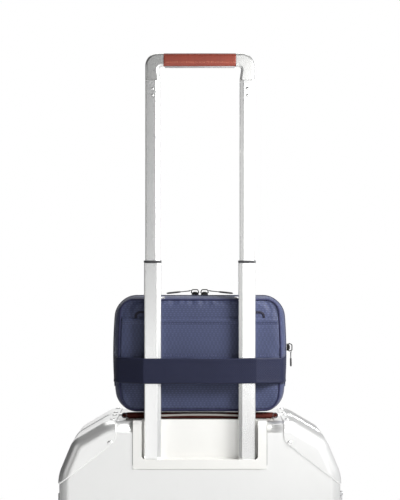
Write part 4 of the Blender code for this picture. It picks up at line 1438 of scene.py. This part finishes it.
# %% [markdown]
# ## Filling it
#
# The cloth is cut a little larger than the space it fills. A cloth simulation blows it up while
# both seams are held, which gives the soft crown of the panels and the small puckers along the
# seams. The back stays flat, because it leans on the tubes, so a limit says how far a point may go.

# %% Fill it
def filled(obj, held, limit, pressure=4.0, slack=0.03, frames=20):
    """Cloth with air inside. Held points stay, and limit(start, end) says where one may go."""
    group = obj.vertex_groups.new(name="held")
    group.add([v.index for v in obj.data.vertices if held(v.co / MM)], 1.0, "REPLACE")
    cloth = obj.modifiers.new("cloth", "CLOTH")
    cloth.settings.quality = 6
    cloth.settings.mass = 0.25
    cloth.settings.use_pressure = True
    cloth.settings.uniform_pressure_force = pressure
    cloth.settings.effector_weights.gravity = 0.0
    cloth.settings.shrink_min = -slack
    cloth.settings.vertex_group_mass = "held"
    cloth.collision_settings.use_collision = False
    cloth.point_cache.frame_start, cloth.point_cache.frame_end = 1, frames
    for step in range(1, frames + 1):
        bpy.context.scene.frame_set(step)
    graph = bpy.context.evaluated_depsgraph_get()
    ends = [v.co.copy() for v in obj.evaluated_get(graph).data.vertices]
    obj.modifiers.clear()
    obj.vertex_groups.clear()
    bpy.context.scene.frame_set(1)
    longest = 0.0
    for vert, end in zip(obj.data.vertices, ends):
        moved = limit(vert.co / MM, end / MM) * MM
        longest = max(longest, (moved - vert.co).length)
        vert.co = moved
    print(obj.name, "moved by up to", round(longest / MM, 2), "mm")
    return obj


def is_seam(point):
    """True on the two outlines where the panels meet the gusset."""
    y = point.y
    if abs(y - BAG_BACK) > 0.01 and abs(y - BAG_BACK - BAG_DEPTH) > 0.01:
        return False
    x = point.x - MIDDLE_X
    return min((Vector((x, point.z)) - Vector(p)).length for p in SEAM_POINTS) < 0.05


def bag_limit(start, end):
    """Keeps the back off the tubes, the bottom off the handle, and the zip line in its place."""
    step = end - start
    out = Vector((start.x / 1.3, 0.0, start.z - 641.0))
    if start.y < BAG_BACK + 0.01:
        between = max(1 - abs(abs(start.x) - 65.0) / 22.0, 0.0)
        step = Vector((0.0, max(min(step.y, 0.5), -1.8 + between * 1.1), 0.0))
    elif start.y > BAG_BACK + BAG_DEPTH - 0.01:
        if step.length > 9.0:
            step *= 9.0 / step.length
    else:
        out = out.normalized() if out.length else Vector((0, 0, 1))
        outward = step.dot(out)
        near_zip = max(1 - abs(start.y - BAG_MIDDLE) / 16.0, 0.0)
        inward_most = 3.0 * (1 - near_zip) ** 2 + 0.15
        allowed = min(max(outward, -inward_most), 0.15)
        step = out * allowed + Vector((0.0, max(min(step.y, 0.8), -0.8), 0.0)) * (1 - near_zip)
    moved = start + step
    moved.z = max(moved.z, 560.35)
    return moved


SEAM_POINTS = [(x, z) for x, _, z in bag_outline(BAG_BACK, 0.0)]
filled(bag, is_seam, bag_limit)

# %% [markdown]
# ## Creases
#
# A simulation with even pressure has no history, so the slow folds of a used case are added: the
# pull of the strap near its ends, and a slack dip in the panels. Then the mesh is subdivided once.

# %% Crease it
def creased(obj):
    """Slow folds: the strap's pull near its ends, and a slack dip in the middle of each panel."""
    for vert in obj.data.vertices:
        x, y, z = vert.co.x / MM, vert.co.y / MM, vert.co.z / MM
        if y < BAG_BACK + 1.5 and z < STRAP_LOW and abs(x) > 80:
            angle = math.atan2(STRAP_LOW + 3 - z, 118.0 - abs(x))
            reach = math.hypot(STRAP_LOW - z, 118.0 - abs(x))
            fade = max(1 - reach / 46.0, 0.0) * min(reach / 8.0, 1.0)
            vert.co.y += 0.9 * MM * fade * math.sin(angle * 11.0)
        if y > BAG_BACK + BAG_DEPTH - 1.0:
            vert.co.y -= 0.8 * MM * noise.noise(Vector((x / 60, z / 60, 4.0)))
    return obj


creased(bag)
smoother = bag.modifiers.new("fine", "SUBSURF")
smoother.levels = smoother.render_levels = 1
applied(bag)
bag.data.shade_smooth()
finish_piece(bag, case_nylon, "soft_case", "soft_case_body")
print("The soft case now has", len(bag.data.polygons), "faces")

# %% [markdown]
# ## Piping
#
# A corded piping covers both seams. It is a round cord along the panels' own outline, so it stays
# on the seam, which the simulation held in place.

# %% Piping
for label, y in (("rear", BAG_BACK - 0.2), ("front", BAG_BACK + BAG_DEPTH + 0.2)):
    path = bag_outline(y, 0.06)
    piping = new_object("piping_" + label, cord_mesh(path, 1.35, closed=True, sides=12), 60.0)
    finish_piece(piping, piping_cloth, "soft_case")

print("Two seams are piped")

# %% [markdown]
# ## Sheets on the panels
#
# The simulation moved the panels, so anything that is sewn on them has to ask where they are. A ray
# towards the soft case finds its surface, and a sheet takes its depth from that.

# %% Surface finder
bag_tree = BVHTree.FromObject(bag, bpy.context.evaluated_depsgraph_get())


def on_bag(x, z):
    """The Y of the soft case's back panel at that place."""
    hit = bag_tree.ray_cast(Vector(((x + MIDDLE_X) * MM, -0.2, z * MM)), Vector((0, 1, 0)))[0]
    return BAG_BACK if hit is None else hit.y / MM


def panel_mesh(half, low, high, radius, hem, proud=1.3, thickness=1.0, count=34, columns=60):
    """A sheet over the back panel, with rounded lower corners and a thicker hem along its top."""
    heights = [low + radius * (1 - math.cos(math.radians(90 * k / 7))) for k in range(7)]
    heights += [low + radius + (high - hem - low - radius) * k / count for k in range(count)]
    heights += [high - hem, high - hem + 0.5, high - hem / 2, high - 0.6, high]
    outer, inner = [], []
    for z in heights:
        drop = max(low + radius - z, 0.0)
        width = half - radius + math.sqrt(max(radius ** 2 - drop ** 2, 0.0))
        lift = 0.55 if high - hem + 0.1 < z < high - 0.3 else 0.0
        across = [settled(width * (2 * i / columns - 1), 0.0, z)[0] for i in range(columns + 1)]
        behind = [(x, on_bag(x, z)) for x in across]
        outer.append([(x, y - (proud + lift), z) for x, y in behind])
        inner.append([(x, y - (proud - thickness), z) for x, y in behind])
    bm = bmesh.new()
    layer = bm.loops.layers.uv.new("weave")
    grids = [[[bm.verts.new(p) for p in ring] for ring in sheet] for sheet in (outer, inner)]
    for grid in grids:
        for a, b in zip(grid, grid[1:]):
            for i in range(columns):
                bm.faces.new((a[i], a[i + 1], b[i + 1], b[i]))
    rims = [rim_of(grid) for grid in grids]
    for i in range(len(rims[0])):
        j = (i + 1) % len(rims[0])
        bm.faces.new((rims[0][i], rims[0][j], rims[1][j], rims[1][i]))
    bmesh.ops.recalc_face_normals(bm, faces=bm.faces)
    for face in bm.faces:
        for corner in face.loops:
            corner[layer].uv = (corner.vert.co.x * MM, corner.vert.co.z * MM)
    return bm

# %% [markdown]
# ## Back pocket
#
# The back pocket is a second sheet over the lower part of the back panel, a little proud of it,
# with a folded hem. Two rows of stitches go with it, one along its hem and one where the strap's
# panel is sewn on.

# %% Back pocket
POCKET_HALF, POCKET_LOW, POCKET_HIGH, HEM = 108.6, 567.0, 691.8, 7.0
pocket = new_object("back_pocket_sheet",
                    panel_mesh(POCKET_HALF, POCKET_LOW, POCKET_HIGH, 16.5, HEM), 60.0)
finish_piece(pocket, pocket_nylon, "soft_case", "back_pocket")


def stitched_line(name, half, z, proud=1.35):
    across = [settled(half * (2 * i / 80 - 1), 0.0, z)[0] for i in range(81)]
    return row(name, [[(x, on_bag(x, z) - proud, z) for x in across]], fine_stitch, 3.4,
               (0, -1, 0), navy_thread, "soft_case", "navy_webbing")


hem_stitches = stitched_line("pocket_hem_stitches", 107.0, POCKET_HIGH - HEM - 0.4)
strap_stitches = stitched_line("strap_panel_stitches", 108.0, 640.2)

print("The pocket has", len(pocket.data.polygons), "faces")

# %% [markdown]
# ## Loops and studs
#
# Two loops of webbing stand over the pocket's hem, and two metal studs sit on the top seam. A loop
# is a rounded slab with its opening cut out, which keeps its outer and inner corners apart.

# %% Loops and studs
LOOP_X, STUD_X = 77.4, 51.0


def loop_outline(half, low, high, radius, x):
    """An outline with two rounded upper corners."""
    return [(x - half, low, 0.0), (x + half, low, 0.0), (x + half, high, radius),
            (x - half, high, radius)]


for side_name, sign in SIDES:
    arch = loop_outline(13.0, 688.0, 701.4, 7.0, sign * LOOP_X)
    hole = loop_outline(9.5, 684.0, 698.2, 4.5, sign * LOOP_X)
    slab = soft_prism(arch, "Y", BAG_BACK - 2.0, BAG_BACK + 0.4, 0.5, 10, 3)
    loop = new_object("webbing_loop_" + side_name, slab)
    cut(loop, prism(rounded(hole, 0.0, 10), "Y", BAG_BACK - 6.0, BAG_BACK + 4.0))
    flat_weave(loop, 0, 2)
    finish_piece(loop, loop_webbing, "soft_case")
    clip = soft_prism(rectangle(5.6, 3.8, 1.2, (sign * STUD_X, 0.0)), "Z", 0.0, 1.7, 0.5, 5, 3)
    lean = (Matrix.Translation((0.0, BAG_BACK + 2.2, 718.9))
            @ Matrix.Rotation(math.radians(52), 4, "X"))
    finish_piece(new_object("stud_" + side_name, clip, 40.0, lean), stud_metal, "soft_case")
print("Two loops and two studs are made")

# %% [markdown]
# ## The belt that holds it to the pull handle
#
# The band is sewn into both side seams and runs flat across the front of the tubes. It is a lofted
# section with a thicker selvedge at each edge, bent round the tubes with a small radius. Its twill
# zigzags across the width.

# %% Belt
STRAP_WALL, STRAP_FRONT, STRAP_WIDTH = 1.5, -111.4, 35.0


def strap_path():
    """The belt's inner face, seen from above."""
    side = [(-(111.5 + 8.6 * gusset_swell(y - BAG_BACK)) + 1.25, y)
            for y in (-74.0, -78.0, -82.0, -85.5, -88.5, -90.5)]
    corner = [(-114.6, -92.6), (-113.6, -94.0), (-112.2, -95.3)]
    outline = rounded([(-112.2, -95.3, 0.0), (-77.6, STRAP_FRONT, 4.0), (0.0, STRAP_FRONT, 0.0)],
                      0.0, 6)
    turn = [p for p in outline if -112.0 < p[0] < -60.0]
    start = Vector(corner[-1])
    slope = [tuple(start.lerp(Vector(turn[0]), k / 12)) for k in range(1, 12)]
    left = side + corner + slope + turn
    middle = [(-70.0 + 2.0 * k, STRAP_FRONT) for k in range(71)]
    return left + middle + [(-x, y) for x, y in left[::-1]]


def strap_section():
    """Height and offset of the band's section, anticlockwise from its lower inner corner."""
    heights = [0.0, 0.35, 1.2, 2.6, 4.5, 10.0, 17.5, 25.0, 30.5, 32.4, 33.8, 34.65, 35.0]
    thick = [0.7, 1.45, 1.75, 1.7, 1.5, 1.5, 1.5, 1.5, 1.5, 1.7, 1.75, 1.45, 0.7]
    inner = [(h, 0.35 if i in (0, len(heights) - 1) else 0.0) for i, h in enumerate(heights)]
    return inner + [(h, t) for h, t in zip(heights[::-1], thick[::-1])]


def strap_mesh():
    path = strap_path()
    section = strap_section()
    along = lengths([(x, y, 0.0) for x, y in path])
    rings = []
    for i, point in enumerate(path):
        before, after = path[max(i - 1, 0)], path[min(i + 1, len(path) - 1)]
        ahead = (Vector(after) - Vector(before)).normalized()
        out = Vector((ahead.y, -ahead.x))
        share = along[i] / along[-1]
        wave_z = 0.35 * math.sin(share * 19.0) + 0.25 * math.sin(share * 7.0 + 1.0)
        dip = 0.5 * math.sin(share * math.tau * 2.0) if abs(point[0]) < 50 else 0.0
        ring = []
        for height, offset in section:
            bow = 0.35 * math.sin(math.pi * height / STRAP_WIDTH) * (abs(point[0]) < 60)
            x, y = Vector(point) + out * (offset + bow * abs(dip))
            ring.append((x, y, STRAP_LOW + height + wave_z))
        rings.append(ring)
    across = lengths([(h, t, 0.0) for h, t in section], closed=True)
    return woven(rings, along, across), along[-1]


strap_bm, strap_length = strap_mesh()
strap = new_object("trolley_strap_band", strap_bm, 50.0)
finish_piece(strap, strap_webbing, "soft_case", "trolley_strap")
strap_end_x = -strap_path()[1][0] + STRAP_WALL + 0.1
strap_seams = [row("strap_end_stitches_" + side_name,
                   [[(sign * strap_end_x, -77.0, z) for z in (604.0, 635.0)]], fine_stitch, 3.2,
                   (sign, 0, 0), navy_thread, "soft_case", "navy_webbing")
               for side_name, sign in SIDES]
print("The belt is", round(strap_length, 1), "mm long")

# %% [markdown]
# ## Zips
#
# One zip runs over the top of the gusset and down both sides. Its tapes lie in the cloth. Its coil
# is closed all the way, so it is a single row of small turns along the gusset's middle line.

# %% Tape and coil
ZIP_END_Z = 596.0


def zip_path(outset):
    """The gusset's middle line from the left side, over the top, to the right side."""
    loop = bag_outline(BAG_MIDDLE, 1.0, outset)
    right = [p for p in loop if p[0] > 0.001 and p[2] > ZIP_END_Z]
    top = sorted((p for p in loop if p[2] > 640.0 and abs(p[0]) < 75.0), key=lambda p: p[0])
    side = sorted((p for p in right if p[0] >= 75.0), key=lambda p: (p[2], -p[0]))
    return [(-x, y, z) for x, y, z in side] + top + side[::-1]


def tape_mesh(y_from, y_to, low, high):
    """A flat strip on the gusset between two depths, as a closed woven section."""
    inner, outer = zip_path(low), zip_path(high)
    rings = [[(a[0], y_from, a[2]), (a[0], y_to, a[2]), (b[0], y_to, b[2]), (b[0], y_from, b[2])]
             for a, b in zip(inner, outer)]
    width, wall = y_to - y_from, high - low
    across = [0.0, width, width + wall, 2 * width + wall, 2 * (width + wall)]
    return woven(rings, lengths(inner), across)


tapes = merged(tape_mesh(BAG_MIDDLE - 6.5, BAG_MIDDLE - 1.4, -0.6, 0.8),
               tape_mesh(BAG_MIDDLE + 1.4, BAG_MIDDLE + 6.5, -0.6, 0.8))
finish_piece(new_object("zip_tapes", tapes, 40.0), tape_cloth, "soft_case")
tooth_shape = small_shape("zip_coil_shape", bead(1.15, 1.1, 3.2, 6))
row("zip_coil", [zip_path(0.75)], tooth_shape, 1.5, (0, 1, 0), zip_metal, "soft_case", "gunmetal")
tape_stitch = small_shape("tape_stitch", bead(1.8, 0.4, 0.4))
for label, side in HALVES:
    path = [(x, BAG_MIDDLE + side * 5.6, z) for x, _, z in zip_path(0.8)]
    row("zip_tape_stitches_" + label, [path], tape_stitch, 3.0, (0, side, 0), navy_thread,
        "soft_case", "navy_webbing")

# %% [markdown]
# ## Sliders and pulls
#
# Each slider has a wire ring for its pull. A slider and its pull are drawn once, standing on the
# tape at the origin and looking along it, and are then placed three times.

# %% Sliders
def wire_hoop(corners, radius, steps=6, sides=10):
    """A closed wire in the XZ plane through rounded corners."""
    return cord_mesh([(u, 0.0, v) for u, v in rounded(corners, 0.0, steps)], radius, True, sides)


def slider_mesh():
    """The wedge-shaped body with its rail and bridge, and the wire ring over it."""
    plan = [(-5.0, -2.9, 1.2), (5.0, -4.2, 1.4), (5.0, 4.2, 1.4), (-5.0, 2.9, 1.2)]
    base = soft_prism(plan, "Z", 0.85, 2.4, 0.35, 4, 3)
    roof = soft_prism([(u * 0.96, v * 0.9, r) for u, v, r in plan], "Z", 2.3, 4.1, 0.6, 4, 3)
    bridge = soft_prism([(-3.6, 3.6, 0.6), (3.4, 3.6, 0.6), (2.4, 5.3, 0.9), (-2.6, 5.3, 0.9)],
                        "Y", -1.1, 1.1, 0.35, 4, 2)
    hoop = wire_hoop([(-5.6, 3.7, 0.8), (5.4, 3.7, 0.8), (3.6, 8.2, 1.9), (-4.4, 8.2, 1.9)], 0.72)
    return merged(base, roof, bridge, hoop)


def pull_mesh(length, drop):
    """A thin tongue through the ring, and a thicker rounded tab at its end."""
    stations = [(0.0, 0.8, 0.55), (0.6, 1.4, 0.75), (3.0, 1.5, 0.7), (0.36 * length, 1.2, 0.6),
                (0.42 * length, 1.5, 0.9), (0.46 * length, 2.0, 1.25), (0.7 * length, 2.2, 1.3),
                (0.93 * length, 2.2, 1.25), (0.985 * length, 1.7, 0.95), (length, 0.9, 0.5)]
    rings = []
    for reach, half, thick in stations:
        x, z = -6.9 - reach, 6.5 - (drop - 0.2) * reach / length
        rings.append([(x, half * fuller(math.cos(a), 0.6), z + thick * fuller(math.sin(a), 0.6))
                      for a in turns(20)])
    link = cord_mesh([(-5.3 + 1.9 * math.cos(a) - 1.2, 1.5 * math.sin(a), 7.0)
                      for a in turns(20)], 0.4, True, 8, (0, 0, 1))
    return merged(loft(rings), link)


def zipped(slider, pull, place, length, drop):
    finish_piece(new_object(slider + "_fine", slider_mesh(), 40.0, place), zip_metal, slider,
                 slider)
    finish_piece(new_object(pull + "_fine", pull_mesh(length, drop), 50.0, place), pull_rubber,
                 pull, pull)


TOP_ZIP_Z, SIDE_ZIP_X, SIDE_ZIP_Z, SLIDER_X = 722.3, 120.8, 650.0, 6.5
for side_name, sign in SIDES:
    place = (Matrix.Translation((sign * SLIDER_X, BAG_MIDDLE, TOP_ZIP_Z))
             @ Matrix.Rotation(0 if sign < 0 else math.pi, 4, "Z"))
    zipped("zip_slider_" + side_name, "zip_pull_" + side_name, place, 33.0, 3.6)
place = (Matrix.Translation((SIDE_ZIP_X, BAG_MIDDLE, SIDE_ZIP_Z))
         @ Matrix.Rotation(math.radians(90), 4, "Y") @ Matrix.Rotation(math.pi, 4, "Z"))
zipped("side_zip_slider", "side_zip_pull", place, 20.0, 0.0)
print("Three sliders and pulls are in place")

# %% [markdown]
# ## Floor and backdrop
#
# The backdrop is the world itself. It is white where the camera sees it, and much dimmer where it
# lights the object, so that metal keeps its greys. Its light grows towards the right and the floor.
# The floor glows a little, which keeps it near white without a strong light on the object.

# %% Floor and backdrop
FLOOR_RADIUS, FLOOR_GLOW = 3.2, 0.36
WORLD_LEVEL, WORLD_LEAST, WORLD_SLOPE = 0.21, 0.06, (0.40, 0.0, -0.20)
floor_finish = Finish("studio_floor", (0.86, 0.86, 0.86), 0.75)
floor_tone = floor_finish.noise(floor_finish.place(), 3.0, 3.0)
floor_finish.set("Base Color", floor_finish.mix(floor_tone, (0.84, 0.84, 0.84, 1.0),
                                                (0.88, 0.88, 0.88, 1.0)))
floor_finish.set("Emission Color", (1.0, 1.0, 1.0, 1.0))
floor_finish.set("Emission Strength", FLOOR_GLOW)
bm = bmesh.new()
bmesh.ops.create_circle(bm, cap_ends=True, segments=96, radius=FLOOR_RADIUS)
floor_mesh = bpy.data.meshes.new("studio_floor")
bm.to_mesh(floor_mesh)
bm.free()
floor = shown("studio_floor", floor_mesh)
painted(floor, floor_finish.material)

world = bpy.data.worlds.new("studio")
world.use_nodes = True
bpy.context.scene.world = world
tree = world.node_tree
towards = tree_node(tree, "ShaderNodeTexCoord", {}, {})["Generated"]
slope = tree_node(tree, "ShaderNodeVectorMath", {"operation": "DOT_PRODUCT"},
                  {0: towards, 1: WORLD_SLOPE})["Value"]
level = tree_node(tree, "ShaderNodeMath", {"operation": "ADD"}, {0: slope, 1: WORLD_LEVEL})[0]
level = tree_node(tree, "ShaderNodeMath", {"operation": "MAXIMUM"}, {0: level, 1: WORLD_LEAST})[0]
lighting = tree_node(tree, "ShaderNodeBackground", {},
                     {"Color": (0.96, 0.975, 1.0, 1.0), "Strength": level})[0]
seen = tree_node(tree, "ShaderNodeBackground", {}, {"Color": (1.0, 1.0, 1.0, 1.0)})[0]
by_camera = tree_node(tree, "ShaderNodeLightPath", {}, {})["Is Camera Ray"]
chosen = tree_node(tree, "ShaderNodeMixShader", {}, {0: by_camera, 1: lighting, 2: seen})[0]
tree.links.new(chosen, tree.nodes["World Output"].inputs[0])
print("The floor is", 2 * FLOOR_RADIUS, "m wide")

# %% [markdown]
# ## Lights
#
# A soft key light near the right side falls off over the width of the object. The cards are weak
# and large: they give the metal edges something bright to mirror. Each row of the table is a
# light's place, what it looks at, its size in metres and its power in watts.

# %% Lights
LIGHTS = {
    "key_right": ((0.46, -0.40, 0.98), (0.0, -0.08, 0.70), 0.28, 10.5),
    "card_right": ((0.32, -1.00, 0.84), (0.06, -0.10, 0.82), 0.50, 2.1),
    "card_low_left": ((-0.28, -1.05, 0.43), (-0.10, -0.10, 0.50), 0.50, 0.70),
    "card_low_right": ((0.30, -1.05, 0.28), (0.10, -0.10, 0.42), 0.60, 0.45),
    "card_left": ((-1.15, -0.80, 0.86), (0.06, -0.10, 0.84), 0.70, 1.1),
    "overhead": ((0.0, 0.75, 2.7), (0.0, 0.72, 0.0), 2.2, 30.0),
    "card_behind": ((-0.5, 2.0, 1.3), (0.0, 0.0, 0.6), 1.6, 8.0),
}
for name, (place, target, size, power) in LIGHTS.items():
    data = bpy.data.lights.new(name, "AREA")
    data.shape, data.size, data.energy = "SQUARE", size, power
    light = shown(name, data)
    light.location = place
    light.visible_camera = False
    light.rotation_euler = (Vector(target) - Vector(place)).to_track_quat("-Z", "Y").to_euler()
bpy.context.scene.view_settings.view_transform = "Standard"
print(len(LIGHTS), "lights are set")
